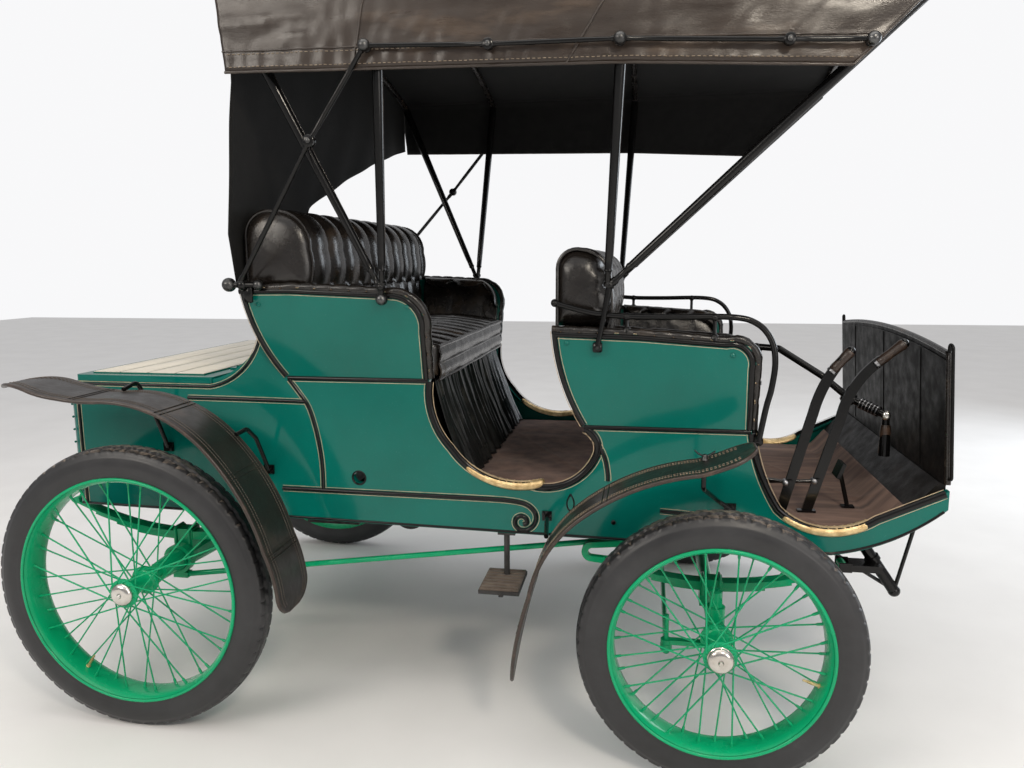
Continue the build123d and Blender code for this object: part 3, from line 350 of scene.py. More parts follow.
def coordinates(tree, stretch=(1, 1, 1)):
    where = added(tree, "ShaderNodeTexCoord").outputs["Object"]
    return added(tree, "ShaderNodeMapping", Vector=where, Scale=stretch).outputs["Vector"]


def noise_node(tree, vector, scale, detail=4, rough=0.55):
    n = added(tree, "ShaderNodeTexNoise", Vector=vector, Scale=scale, Detail=detail, Roughness=rough)
    return n.outputs["Fac"]


def ramp(tree, value, stops):
    """A value turned into colours, through stops of (place, colour)."""
    r = added(tree, "ShaderNodeValToRGB", Fac=value)
    while len(r.color_ramp.elements) < len(stops):
        r.color_ramp.elements.new(0.5)
    for e, (place, colour) in zip(r.color_ramp.elements, stops):
        e.position = place
        e.color = (*colour, 1)
    return r.outputs["Color"]


def spread_of(tree, value, low, high):
    """The middle of a noise's range moved into the range low to high."""
    m = added(tree, "ShaderNodeMapRange", Value=value, From_Min=0.3, From_Max=0.7, To_Min=low, To_Max=high)
    return m.outputs["Result"]


def bump(tree, bsdf, height, strength, distance, under=None):
    """Relief on a shader, on top of another bump where under is its output."""
    b = added(tree, "ShaderNodeBump", Height=height, Strength=strength, Distance=distance)
    if under is not None:
        fill(tree, b, Normal=under)
    fill(tree, bsdf, Normal=b.outputs["Normal"])
    return b.outputs["Normal"]


def mixed(tree, a, b, value):
    """Two colours, as outputs or as numbers, mixed by a value."""
    m = tree.nodes.new("ShaderNodeMix")
    m.data_type = "RGBA"
    a, b = ((*colour, 1) if isinstance(colour, tuple) else colour for colour in (a, b))
    return fill(tree, m, Factor=value, A=a, B=b).outputs["Result"]


def worked(tree, operation, a, b):
    """Two values, as outputs or as numbers, put together by a math node."""
    n = tree.nodes.new("ShaderNodeMath")
    n.operation = operation
    tree.links.new(a, n.inputs[0])
    if isinstance(b, float):
        n.inputs[1].default_value = b
    else:
        tree.links.new(b, n.inputs[1])
    return n.outputs["Value"]


def enamel(name, base, dust, rough=0.12):
    """Glossy coach paint with soft brush lines, faint dust and small chips."""
    m, tree, bsdf = nodes_of(name)
    vector = coordinates(tree)
    darker = tuple(c * 0.86 for c in base)
    lighter = tuple(min(1, c * 1.12) for c in base)
    tone = ramp(tree, noise_node(tree, vector, 3.2, 6), ((0.3, darker), (0.7, lighter)))
    specks = noise_node(tree, vector, 240, 2)
    dusty = ramp(tree, specks, ((0.66, (0, 0, 0)), (0.76, (0.35, 0.35, 0.35))))
    film = spread_of(tree, noise_node(tree, vector, 11, 5), rough * 0.8, rough * 1.9)
    fill(tree, bsdf, Base_Color=mixed(tree, tone, dust, dusty), Roughness=film, Coat_Weight=0.14,
         Specular_IOR_Level=0.24, Coat_Roughness=0.05)
    brush = noise_node(tree, coordinates(tree, (2, 2, 60)), 5, 3)
    first = bump(tree, bsdf, brush, 0.05, 0.002)
    bump(tree, bsdf, noise_node(tree, vector, 60, 2), 0.03, 0.002, first)
    return m


def leather(name, base, worn, rough=0.34, grain=420, folds=9, stretch=(1, 1, 1), shine=0.42, crease=0.35):
    """Oiled leather: fine cells, long soft creases, and lighter wear where it is rubbed."""
    m, tree, bsdf = nodes_of(name)
    vector = coordinates(tree, stretch)
    cloud = noise_node(tree, vector, folds, 7, 0.6)
    colour = ramp(tree, cloud, ((0.32, tuple(c * 0.7 for c in base)), (0.55, base), (0.76, worn)))
    film = spread_of(tree, noise_node(tree, vector, 26, 5), rough * 0.75, rough * 1.35)
    fill(tree, bsdf, Base_Color=colour, Roughness=film, Specular_IOR_Level=shine, Coat_Weight=0.5 * shine,
         Coat_Roughness=0.2)
    cells = added(tree, "ShaderNodeTexVoronoi", Vector=vector, Scale=grain)
    cells.feature = "DISTANCE_TO_EDGE"
    first = bump(tree, bsdf, cells.outputs["Distance"], 0.25, 0.0012)
    bump(tree, bsdf, noise_node(tree, vector, folds * 4, 5), crease, 0.004, first)
    return m


def metal(name, base, rough, grain=60, strength=0.15, metallic=1.0, stain=None):
    """Metal with stains and a fine cast or brushed grain."""
    m, tree, bsdf = nodes_of(name)
    vector = coordinates(tree)
    cloud = noise_node(tree, vector, grain * 0.4, 6)
    colour = ramp(tree, cloud, ((0.3, stain or tuple(c * 0.6 for c in base)), (0.62, base)))
    fill(tree, bsdf, Base_Color=colour, Metallic=metallic,
         Roughness=spread_of(tree, cloud, rough * 1.5, rough * 0.8))
    bump(tree, bsdf, noise_node(tree, vector, grain * 4, 4), strength, 0.001)
    return m


def cloth(name, base, light, threads=700, rough=0.85, fold=30, sheen=0.3, lay=(1, 1, 1)):
    """Woven cloth with crossing threads and a soft nap."""
    m, tree, bsdf = nodes_of(name)
    cloud = noise_node(tree, coordinates(tree, lay), fold, 6)
    colour = ramp(tree, cloud, ((0.3, base), (0.72, light)))
    fill(tree, bsdf, Base_Color=colour, Roughness=rough, Sheen_Weight=sheen)
    warp = noise_node(tree, coordinates(tree, (1, 0.15, 0.15)), threads, 2)
    weft = noise_node(tree, coordinates(tree, (0.15, 1, 1)), threads, 2)
    first = bump(tree, bsdf, warp, 0.3, 0.001)
    bump(tree, bsdf, weft, 0.3, 0.001, first)
    return m


def rubber(name):
    """Grey-black tyre rubber with dust settled on what faces up."""
    m, tree, bsdf = nodes_of(name)
    vector = coordinates(tree)
    cloud = noise_node(tree, vector, 7, 8, 0.65)
    tones = ((0.3, (0.011, 0.011, 0.012)), (0.6, (0.024, 0.024, 0.026)), (0.8, (0.045, 0.044, 0.046)))
    facing = added(tree, "ShaderNodeNewGeometry").outputs["Normal"]
    split = added(tree, "ShaderNodeSeparateXYZ", Vector=facing)
    settled = worked(tree, "MULTIPLY", split.outputs["Z"], noise_node(tree, vector, 55, 6, 0.7))
    share = ramp(tree, settled, ((0.38, (0, 0, 0)), (0.58, (0.75, 0.75, 0.75))))
    fill(tree, bsdf, Base_Color=mixed(tree, ramp(tree, cloud, tones), (0.30, 0.24, 0.19), share),
         Roughness=spread_of(tree, cloud, 0.34, 0.5))
    bump(tree, bsdf, noise_node(tree, vector, 500, 3), 0.10, 0.0006)
    return m


TEAL = enamel("teal_enamel", (0.001, 0.128, 0.102), (0.05, 0.19, 0.16), 0.1)
GREEN = enamel("green_enamel", (0.002, 0.335, 0.140), (0.10, 0.34, 0.20), 0.18)
BLACK = enamel("black_enamel", (0.004, 0.0038, 0.0038), (0.03, 0.028, 0.026), 0.14)
CREAM = enamel("cream_board", (0.62, 0.58, 0.50), (0.40, 0.36, 0.30), 0.35)
GOLD = metal("gold_line", (0.70, 0.55, 0.36), 0.4, 90, 0.1, 0.35)
BRASS = metal("old_brass", (0.86, 0.66, 0.36), 0.34, 110, 1.0, 0.85, (0.46, 0.31, 0.14))
BRONZE = metal("bronze_rim", (0.16, 0.10, 0.055), 0.35, 60, 0.3, 0.8)
DARK_STEEL = metal("dark_steel", (0.12, 0.12, 0.12), 0.3, 60, 0.2, 1.0, (0.05, 0.05, 0.05))
NICKEL = metal("nickel", (0.72, 0.70, 0.66), 0.18, 40, 0.1, 1.0, (0.42, 0.38, 0.33))
STEEL = metal("steel", (0.34, 0.34, 0.35), 0.35, 60, 0.2)
IRON = metal("cast_iron", (0.045, 0.043, 0.042), 0.6, 90, 0.6, 0.3)
SEAT = leather("seat_leather", (0.012, 0.0095, 0.008), (0.060, 0.042, 0.028), 0.24)
ROOF = leather("roof_leather", (0.034, 0.024, 0.018), (0.120, 0.084, 0.058), 0.32, 330, 6,
               stretch=(0.35, 1, 1.6))
FENDER = leather("fender_leather", (0.016, 0.012, 0.010), (0.050, 0.035, 0.025), 0.36, 380, 8)
DASH = leather("dash_leather", (0.004, 0.004, 0.004), (0.009, 0.008, 0.008), 0.5, 350, 7,
               shine=0.14, crease=0.08)
FLOOR = leather("floor_leather", (0.010, 0.008, 0.007), (0.030, 0.022, 0.018), 0.5, 350, 9,
                shine=0.16, crease=0.1)
SKIRT = leather("skirt_cloth", (0.014, 0.014, 0.014), (0.060, 0.056, 0.050), 0.34, 300, 14)
GRIP = leather("grip_leather", (0.035, 0.022, 0.016), (0.12, 0.07, 0.045), 0.35, 300, 20)
LINING = cloth("roof_lining", (0.0022, 0.0021, 0.002), (0.005, 0.0047, 0.0045), 600, 0.95, 30, 0.0)
MAT = cloth("mat_cloth", (0.085, 0.040, 0.028), (0.230, 0.130, 0.095), 420, 0.95, 20, 0.15)
FRONT_MAT = cloth("front_mat_cloth", (0.060, 0.030, 0.022), (0.270, 0.160, 0.115), 420, 0.9, 7, 0.15,
                  lay=(0.5, 4, 0.5))
TREAD_PAD = cloth("step_rubber", (0.075, 0.055, 0.042), (0.16, 0.125, 0.10), 500, 0.8, 30, 0.1)
THREAD = cloth("thread", (0.16, 0.12, 0.08), (0.30, 0.24, 0.17), 900, 0.8)
DARK_THREAD = cloth("dark_thread", (0.055, 0.040, 0.028), (0.11, 0.08, 0.055), 900, 0.8)
RUBBER = rubber("tyre_rubber")

NODE_LOOKS = (
    (TEAL, ("body_sides", "rear_panel", "deck_lid", "deck_riser", "rear_seat_shell", "front_seat_shell")),
    (BLACK, ("seat_boxes", "handrails", "fender_stays", "steering_bracket", "hand_levers", "tiller")),
    (GREEN, ("frame_bars", "front_axle", "rear_axle", "leaf_springs", "knuckle_right", "knuckle_left",
             "tie_rod")),
    (IRON, ("steps", "engine_block", "muffler")),
    (FENDER, ("rear_fenders", "front_fenders")),
    (FLOOR, ("body_floor",)),
    (BRASS, ("sill_plates",)),
    (DASH, ("dash",)),
    (SEAT, ("roof_bows",)),
)
for look, nodes in NODE_LOOKS:
    for node in nodes:
        mesh = frame["nodes"][node].data
        mesh.materials.clear()
        mesh.materials.append(look)


# Wheels and tyres

RIM_DEEP = 14
SPOKES = 40
SPOKE_LEAN = math.radians(60)
FLANGE_R = 33
FLANGE_OUT = 46
FRONT_VALVE = 342
REAR_VALVE = 236


def wheel(name, x, side, tyre_r, cap_out):
    """A wire wheel with its hub, crossed spokes, cap, valve and tyre."""
    body = "wheel_" + name
    centre = at(x, side * TRACK / 2, tyre_r)
    axis = outward(side)
    rim_r = tyre_r - TYRE_DEEP
    rim_in = rim_r - RIM_DEEP

    def on(a, b, c):
        return at(x + a, side * (TRACK / 2 + c), tyre_r - side * b)

    rim = Shape()
    lip_turns = [math.radians(d) for d in range(160, -181, -20)]
    lip = [(rim_r - 2 + 4.6 * math.cos(t), 40 + 4.6 * math.sin(t)) for t in lip_turns]
    inner = [(rim_in + 5, 36), (rim_in + 1, 30), (rim_in, 18), (rim_in - 1, 6)]
    half = [(rim_r - 0.4, 20), (rim_r - 0.4, 36)] + lip + inner
    rim.turned(half + [(r, -h) for r, h in reversed(half)], centre, axis, 120, close=True)
    hub = [(27, 52), (30, 50), (40, 49), (40, 43), (30, 41), (24, 36), (22, 20), (21, 0), (22, -20),
           (24, -36), (30, -41), (40, -43), (40, -49), (26, -51), (24, -54)]
    rim.turned(hub, centre, axis, 40)
    for k in range(SPOKES):
        lead = 1 if (k // 2) % 2 else -1
        flange = 1 if k % 2 else -1
        t = 2 * math.pi * k / SPOKES
        h = t + lead * SPOKE_LEAN
        p = on(FLANGE_R * math.cos(h), FLANGE_R * math.sin(h), flange * FLANGE_OUT + lead * 4)
        reach = rim_in + 2
        q = on(reach * math.cos(t), reach * math.sin(t), flange * 9 + lead * 3.5)
        way = (q - p).normalized()
        rim.tube([p, p + way * 0.012, q - way * 0.016], [2.9, 2.1, 2.1], 8, caps=False)
        rim.tube([q - way * 0.018, q - way * 0.014, q - way * 0.003, q], [2.6, 3.6, 3.8, 5.0], 8)
        rim.ball(p - way * 0.001, 4.2, axis, 8)
    rim.make(body + "_look", GREEN, body, "green_paint", [body], 50)

    cap = Shape()
    dome = [(0, 0.3), (4.5, 0.8), (6, 3), (7, 6), (10, 7), (16, 5.8), (24, 8), (29, 12), (30.6, 15),
            (30, 17.5), (28.6, 18.5)]
    skirt = [(28.6, 58), (30.4, 56.5), (30.6, 53), (29.5, 50)]
    cap.turned([(r, cap_out - d) for r, d in dome] + skirt, centre, axis, 48)
    cap.make(body + "_cap", NICKEL, body)

    stem = Shape()
    t = math.radians((FRONT_VALVE if x > 0 else REAR_VALVE) * -side)
    a = on((rim_in + 1) * math.cos(t), (rim_in + 1) * math.sin(t), 0)
    inward = (centre - a).normalized()
    stem.tube([a] + [a + inward * s for s in (0.004, 0.005, 0.03, 0.031, 0.042)], [6, 6, 4, 4, 3, 3], 12)
    stem.make(body + "_valve", BRASS, body, "green_paint")

    tyre(name, centre, axis, tyre_r)


# The tread across the tyre, from its middle: a rib, a zigzag beside it, then the edge blocks
RIB_OUT = 9
ZIGZAG_OUT = 12.5
BLOCK_IN = 17
BLOCK_OUT = 34.4
BLOCK_HIGH = 4.6
BLOCK_SHARE = 0.78
STEPS_PER_BLOCK = 6


def tread_lift(edge, phase):
    """How far the tread stands out, at a distance from the middle and a share of one block's turn."""
    if BLOCK_IN < edge < BLOCK_OUT:
        grown = min(1, (edge - BLOCK_IN) / 3, (BLOCK_OUT + 0.2 - edge) / 2)
        return BLOCK_HIGH * max(0, grown) if phase < BLOCK_SHARE else 1.0
    if edge < RIB_OUT:
        return 5.8
    if edge < ZIGZAG_OUT and phase < 0.5:
        return 5.4
    return 0.0


def tyre(name, centre, axis, tyre_r):
    """A rounded case with two thin ridges on each side, a zigzag rib and heavy edge blocks."""
    half = smooth([(0, 6.0), (14, 6.2), (25, 8.4), (34.5, 15), (40.6, 27), (43.2, 42), (42.4, 56),
                   (40.6, 68), (39, 79.6)], 4)
    line = [(-w, d) for w, d in reversed(half[1:])] + half
    count = STEPS_PER_BLOCK * (66 if tyre_r > 370 else 58)
    u = axis.cross(-BACK).normalized()
    v = axis.cross(u)
    rows = []
    for k in range(count):
        t = 2 * math.pi * k / count
        out = u * math.cos(t) + v * math.sin(t)
        row = []
        for w, d in line:
            phase = (k / STEPS_PER_BLOCK + (0.5 if w > 0 else 0)) % 1
            edge = abs(w)
            ridge = 0.9 * math.exp(-((d - 69) / 1.6) ** 2) + 0.8 * math.exp(-((d - 24) / 1.4) ** 2)
            share = min(1, max(0, (edge - 24) / 16))
            r = tyre_r - d + tread_lift(edge, phase)
            h = w + math.copysign(ridge * share, w)
            row.append(centre + axis * (h / 1000) + out * (r / 1000))
        rows.append(row)
    shape = Shape()
    shape.grid(rows, close_rows=True)
    shape.make("tyre_" + name + "_look", RUBBER, "wheel_" + name, "tyre", ["tyre_" + name], 35)


for place, axle_x, radius, cap_reach in (("rear", 0, REAR_R, 73), ("front", WHEELBASE, FRONT_R, 82)):
    wheel(place + "_right", axle_x, -1, radius, cap_reach)
    wheel(place + "_left", axle_x, 1, radius, cap_reach)


# Mouldings on the body and the seats

GOLD_GAP = 2.6
FINE_LINE = [(-0.75, -0.1), (-0.6, 0.35), (0.6, 0.35), (0.75, -0.1)]
REAR_BACK = run((284, 1186), [((307, 1070), (370, 950))], 12)
FRONT_BACK = run((1121, 1088), [((1145, 955), (1198, 836))], 12)
ENTRANCE = run((786, 946), [((797, 838), (843, 764)), ((928, 690), (1060, 669)), ((1190, 694), (1239, 756)),
                            ((1241, 793), (1206, 830))], 16)
BOW = run((1632, 830), [((1655, 733), (1703, 633)), ((1812, 582), (1945, 618)), (2100, 693)], 16)
REAR_SWEEP = smooth([(382, 944), (412, 905), (437, 866), (455, 805), (466, 742), (470, 690), (470, 634)], 5)
FRONT_SWEEP = smooth([(1212, 826), (1243, 788), (1261, 752), (1269, 712), (1270, 690)], 5)
SCROLL = [(348, 629), (700, 627), (900, 626)] + smooth([
    (950, 625.5), (1000, 624), (1043, 618), (1067, 604), (1078, 583), (1073, 560), (1055, 544), (1034, 543),
    (1021, 556), (1022, 573), (1036, 582), (1050, 576), (1053, 563), (1043, 558)], 6)
DROP = smooth([(1171, 650), (1180, 630), (1179, 612), (1171, 603), (1163, 612), (1162, 630), (1171, 650)], 5)


def seat_side(seat):
    """How far out a seat's side stands at a height."""
    z0, z1, flare = seat
    return lambda z: HALF_W + flare * (z - z0) / (z1 - z0)


def body_side(z):
    """The body's side stands upright."""
    return HALF_W


rear_side = seat_side(REAR_SEAT)
front_side = seat_side(FRONT_SEAT)


def on_side(points, side, y_of):
    """Points in X and Z put on the side's skin, each with its outward direction."""
    line = []
    for x, z in points:
        rise = (y_of(z + 10) - y_of(z - 10)) / 20
        line.append((at(x, side * y_of(z), z), Vector((0, side, -rise)).normalized()))
    return line


def half_round(width, height, n=6):
    turns = [math.pi * i / n for i in range(n + 1)]
    top = [(-width / 2 * math.cos(t), height * math.sin(t)) for t in turns]
    return [(-width / 2, -0.2)] + top + [(width / 2, -0.2)]


def with_gold(trim, gold, points, put, width, height):
    """A half-round moulding and, unless gold is None, a fine line beside each of its edges."""
    trim.strip(put(points), half_round(width, height))
    if gold:
        for off in (-width / 2 - GOLD_GAP, width / 2 + GOLD_GAP):
            gold.strip(put(side_by(points, off)), FINE_LINE)


def body_mouldings():
    """The black mouldings and gold lines of both sides, with the drop and the knob below the seat."""
    trim = Shape()
    gold = Shape()

    def moulding(points, y_of, width, height, lines=gold):
        points = evenly(points, 14)
        for side in SIDES:
            with_gold(trim, lines, points, lambda line: on_side(line, side, y_of), width, height)

    moulding(SCROLL, body_side, 12, 6.5)
    moulding([(1408, 614), (1500, 609), (1640, 602), (1700, 594)], body_side, 10, 5)
    moulding([(70, 885), (240, 884), (430, 882)], body_side, 10, 4.5)
    moulding(REAR_SWEEP, body_side, 10, 4.5)
    moulding(FRONT_SWEEP, body_side, 10, 4.5)
    moulding([(380, 948), (560, 948), (784, 948)], body_side, 13, 5.5)
    moulding([(1205, 834), (1400, 834), (1630, 834)], body_side, 12, 5.5)
    moulding([(-283, 560), (-283, 740), (-283, 920)], body_side, 8, 4)
    moulding(ENTRANCE, body_side, 19, 5.5)
    moulding(BOW, body_side, 19, 5.5)
    moulding(run((-300, 556), [(1840, 523), ((2005, 580), (2100, 647))], 12), body_side, 7, 3, None)
    moulding(run((-278, 919), [(142, 918), ((232, 958), (300, 1060))], 12), body_side, 8, 3.5)
    moulding(side_by(REAR_BACK, 7), rear_side, 14, 6)
    moulding(run((282, 1190), [(425, 1191), (700, 1179), ((765, 1149), (780, 1085)), (778, 953)], 12),
             rear_side, 15, 6)
    moulding(side_by(FRONT_BACK, 7), front_side, 14, 6)
    moulding(run((1124, 1080), [(1346, 1073), (1560, 1058), ((1612, 1042), (1624, 998)), (1626, 840)], 12),
             front_side, 15, 6)
    for side in SIDES:
        trim.strip(on_side(DROP, side, body_side), half_round(4, 3))
        trim.turned([(0, 5), (5, 4.6), (6.5, 3), (6.5, 0)], at(1286, side * HALF_W, 577), outward(side), 16)
    trim.make("body_mouldings", BLACK, slot="black_paint")
    gold.make("gold_lines", GOLD, slot="brass")


def opening_rims():
    """The openings' bare rims, left out where a brass sill covers them."""
    rims = Shape()
    for side in SIDES:
        for path, sill_start, sill_end in ((ENTRANCE, 884, 1096), (BOW, 1707, 1930)):
            rim_line = evenly(side_by(path, -9), 12)
            behind = [p for p in rim_line if p[0] < sill_start]
            ahead = [p for p in rim_line if p[0] > sill_end]
            for part in (behind, ahead):
                rims.strip(on_side(part, side, lambda z: HALF_W - 11),
                           [(-2, -11), (2, -11), (2.5, 0), (2, 10), (-2, 10)])
    rims.make("opening_rims", BRONZE, slot="black_paint")


def teal_studs():
    """Rivets down the rear corners and the four painted buttons on the seats' sides."""
    studs = Shape()
    buttons = ((745, 1150, rear_side), (330, 1155, rear_side),
               (1576, 1032, front_side), (1160, 1058, front_side))
    for side in SIDES:
        for z in range(590, 900, 38):
            studs.ball(at(-306, side * (HALF_W - 0.5), z), 3.6, segments=10)
        for x, z, y_of in buttons:
            studs.turned([(0, 5), (4, 4.4), (6, 2.5), (6.2, 0)], at(x, side * y_of(z), z), outward(side), 14)
    studs.make("teal_studs", TEAL, slot="teal_paint")


def handle_hole_ring():
    """The raised ring around the hole for the starting handle, on the right side."""
    ring = Shape()
    ring.turned([(16.8, -3), (17, 1.6), (18, 2.4), (20, 2.2), (21.5, 0.6), (21.5, -0.4)],
                at(577, -HALF_W, 669), outward(-1), 40)
    ring.make("handle_hole_ring", BLACK, slot="black_paint")


def rear_panel_trim():
    """A frame of mouldings and gold lines on the rear panel."""
    trim = Shape()
    gold = Shape()
    half, low, high, panel_x = 440, 584, 862, -325

    def put(line):
        return [(at(panel_x, y, z), BACK) for y, z in line]

    for ends in (((-half, high), (half, high)), ((-half, low), (half, low)),
                 ((-half, high), (-half, low)), ((half, high), (half, low))):
        with_gold(trim, gold, evenly(ends, 20), put, 8, 3.2)
    trim.make("rear_panel_mouldings", BLACK, slot="black_paint")
    gold.make("rear_panel_lines", GOLD, slot="brass")


def seat_top_rolls():
    """Leather rolls with tacks along the seat tops and down the seat fronts."""
    rolls = Shape()
    tacks = Shape()
    rear = run((284, 1192), [(425, 1203), (700, 1191), ((776, 1158), (791, 1085)), (788, 956)], 10)
    front = run((1121, 1091), [(1346, 1085), (1560, 1069), ((1624, 1052), (1637, 1000)), (1636, 842)], 10)
    for side in SIDES:
        for points, y_of in ((rear, rear_side), (front, front_side)):
            points = evenly(points, 12)
            line = [at(x, side * (y_of(z) - 9), z) for x, z in points]
            sizes = [11.6 - 2.2 * (i % 4 == 2) + 0.8 * math.sin(i * 0.31) for i in range(len(line))]
            rolls.tube(line, sizes, 12)
            for x, z in points[2::4]:
                tacks.ball(at(x, side * (y_of(z) + 1.2), z - 3), 1.7, segments=8)
    rolls.make("seat_top_rolls", SEAT, slot="leather", angle=60)
    tacks.make("seat_top_tacks", BRONZE, slot="brass")


body_mouldings()
opening_rims()
teal_studs()
handle_hole_ring()
rear_panel_trim()
seat_top_rolls()


# Seats

def normals_of(points, cx, cz):
    """The directions that point away from a closed outline's middle."""
    normals = []
    for i, p in enumerate(points):
        a = points[i - 1]
        b = points[(i + 1) % len(points)]
        length = math.dist(a, b) or 1
        out = ((b[1] - a[1]) / length, -(b[0] - a[0]) / length)
        if out[0] * (p[0] - cx) + out[1] * (p[1] - cz) < 0:
            out = (-out[0], -out[1])
        normals.append(out)
    return normals


def channel(share, edge):
    """A stuffed channel's height: 1 in its middle and 0 in the seams at both ends of a share of 1."""
    return 1 - abs(2 * (share % 1) - 1) ** edge


def tuft(u, v):
    """Height between buttons set in a diamond net: 1 on a puff, 0 on a button or crease."""
    a = (u + v) / 2
    b = (u - v) / 2
    da = abs(a - round(a)) * 2
    db = abs(b - round(b)) * 2
    height = 1 - (1 - min(da, db)) ** 5 * 0.75
    near = math.hypot(da, db)
    return height - (1 - near) ** 3 * 0.6 if near < 1 else height


def frontward(nx, nz):
    return max(0.0, min(1.0, 0.35 + 0.9 * (nx * 0.8 + nz * 0.6)))


def upward(nx, nz):
    return max(0.0, nz) ** 0.5


def pad(name, profile, half, pitch, depth, replaces, rounding, shown, slices, buttons=None):
    """A stuffed form: a closed outline in X and Z carried across from -half to half and drawn in at its
    ends, with channels, or with tufts where buttons gives their pitch and the height of the first row."""
    outline = evenly(profile + [profile[0]], 12)[:-1]
    cx = sum(p[0] for p in outline) / len(outline)
    cz = sum(p[1] for p in outline) / len(outline)
    reach = max(math.dist(p, (cx, cz)) for p in outline)
    normals = normals_of(outline, cx, cz)
    rows = []
    for j in range(slices + 1):
        y = -half + 2 * half * (j / slices)
        edge = min(y + half, half - y)
        inset = rounding * (1 - math.sqrt(max(0, 1 - (1 - min(1, edge / rounding)) ** 2)))
        share = 1 - inset / reach
        u = y / pitch + 0.5
        row = []
        for (x, z), (nx, nz) in zip(outline, normals):
            puff = tuft(u, (z - buttons[1]) / buttons[0]) if buttons else channel(u, 3.2)
            creases = 1.2 * lumps(x * 0.012, y * 0.03, z * 0.012)
            move = (puff - 1) * depth * shown(nx, nz) + creases * min(1, edge / rounding)
            row.append(at(cx + (x + nx * move - cx) * share, y, cz + (z + nz * move - cz) * share))
        rows.append(row)
    shape = Shape()
    shape.body(rows)
    piece = shape.make(name, SEAT, slot="leather", replaces=replaces, angle=80)


pad("rear_back_upper", run((289, 1192), [(287, 1340), ((314, 1396), (370, 1408)),
                                         ((448, 1382), (479, 1300)), ((485, 1250), (475, 1192))], 10),
    557, 112, 26, ["rear_backrest"], 44, frontward, 130)
pad("rear_back_lower", run((402, 1040), [(352, 1196), (470, 1202), ((478, 1130), (456, 1040))], 8),
    508, 102, 16, [], 20, frontward, 100)
pad("front_back_upper", run((1126, 1096), [(1126, 1250), ((1148, 1294), (1190, 1302)),
                                           ((1249, 1276), (1272, 1210)), ((1278, 1150), (1270, 1096))], 10),
    504, 126, 22, ["front_backrest"], 62, frontward, 130, (88, 1150))
pad("front_back_lower", run((1200, 922), [(1150, 1092), (1266, 1098), (1268, 922)], 8),
    494, 116, 14, [], 20, frontward, 90)
pad("rear_seat_pad", run((412, 956), [(412, 1046), ((620, 1066), (800, 1042)), (794, 956)], 16),
    468, 94, 13, ["rear_cushion"], 16, upward, 130)
pad("front_seat_pad", run((1266, 842), [(1266, 932), ((1450, 952), (1614, 928)), (1608, 842)], 16),
    468, 94, 15, ["front_cushion"], 16, upward, 110)


def arm_roll(name, tops, z0, y_of, puffs):
    """Padding inside a seat's side: a roll in puffs along the top above a thinner lining."""
    tops = evenly(tops, 7)
    last = len(tops) - 1
    roll_turns = [math.pi * k / 8 for k in range(1, 9)]
    for side in SIDES:
        rows = []
        for i, (x, z1) in enumerate(tops):
            puff = channel(puffs * i / last, 3.5)
            r = (12 + 14 * puff) * (0.5 + 0.5 * rounded(min(1, min(i, last - i) / 3)))
            tall = z1 - z0
            low = z1 - 1.5 * r - 18
            section = [(0, z0), (0, z0 + tall * 0.35), (0, z0 + tall * 0.7), (0, z1 - r)]
            section += [(r * 0.9 - r * 0.9 * math.cos(t), z1 - r + r * math.sin(t)) for t in roll_turns]
            section += [(7, z1 - 1.25 * r - 4), (13, low)]
            section += [(13 + 4 * math.sin(math.pi * k / 5) * puff, low + (z0 - low) * k / 5)
                        for k in range(1, 5)]
            section += [(8, z0)]
            rows.append([at(x, side * (y_of(z) - 20.5 - off), z) for off, z in section])
        shape = Shape()
        shape.body(rows)
        piece = shape.make(name + ("_right" if side < 0 else "_left"), SEAT, slot="leather", angle=80)


arm_roll("rear_arm_roll", run((478, 1206), [(700, 1196), ((757, 1166), (778, 1100))], 10),
         1010, rear_side, 3)
arm_roll("front_arm_roll", run((1276, 1102), [(1560, 1084), ((1602, 1064), (1620, 1012))], 10),
         905, front_side, 4)


def back_piping():
    """Piping on the backrests' end seams and along the cushions' fronts."""
    piping = Shape()
    rear = run((292, 1208), [(292, 1340), ((318, 1390), (372, 1402)), ((444, 1378), (474, 1300)),
                             ((480, 1250), (472, 1208))], 8)
    front = run((1130, 1096), [(1130, 1248), ((1152, 1289), (1192, 1296)), ((1245, 1271), (1267, 1208)),
                               ((1273, 1150), (1265, 1096))], 8)
    for y, line in ((538, rear), (484, front)):
        for side in SIDES:
            piping.tube([at(x, side * y, z) for x, z in line], 4.5, 8)
    across = range(-462, 463, 22)
    for z, r in ((1036, 5.5), (988, 3), (943, 4)):
        piping.tube([at(801 + 1.5 * math.sin(y * 0.02), y, z) for y in across], r, 8)
    for z, r in ((930, 5), (936, 3)):
        piping.tube([at(1616, y, z) for y in across], r, 8)
    piping.make("back_piping", SEAT, slot="leather")


def cushion_flap():
    """The leather that hangs over the rear cushion's front, in two soft bellies."""
    half, top, tall = 456, 1034, 92

    def point(across, down):
        y = -half + 2 * half * across
        z = top - tall * down
        belly = (5 if down < 0.5 else 6) * math.sin(2 * math.pi * down) ** 2
        return at(799 + belly + 1.4 * lumps(y * 0.02, z * 0.03, 5), y, z)

    piece = surface(point, 90, 18).make("cushion_flap", SEAT, slot="leather")
    thicken(piece, 0.002)


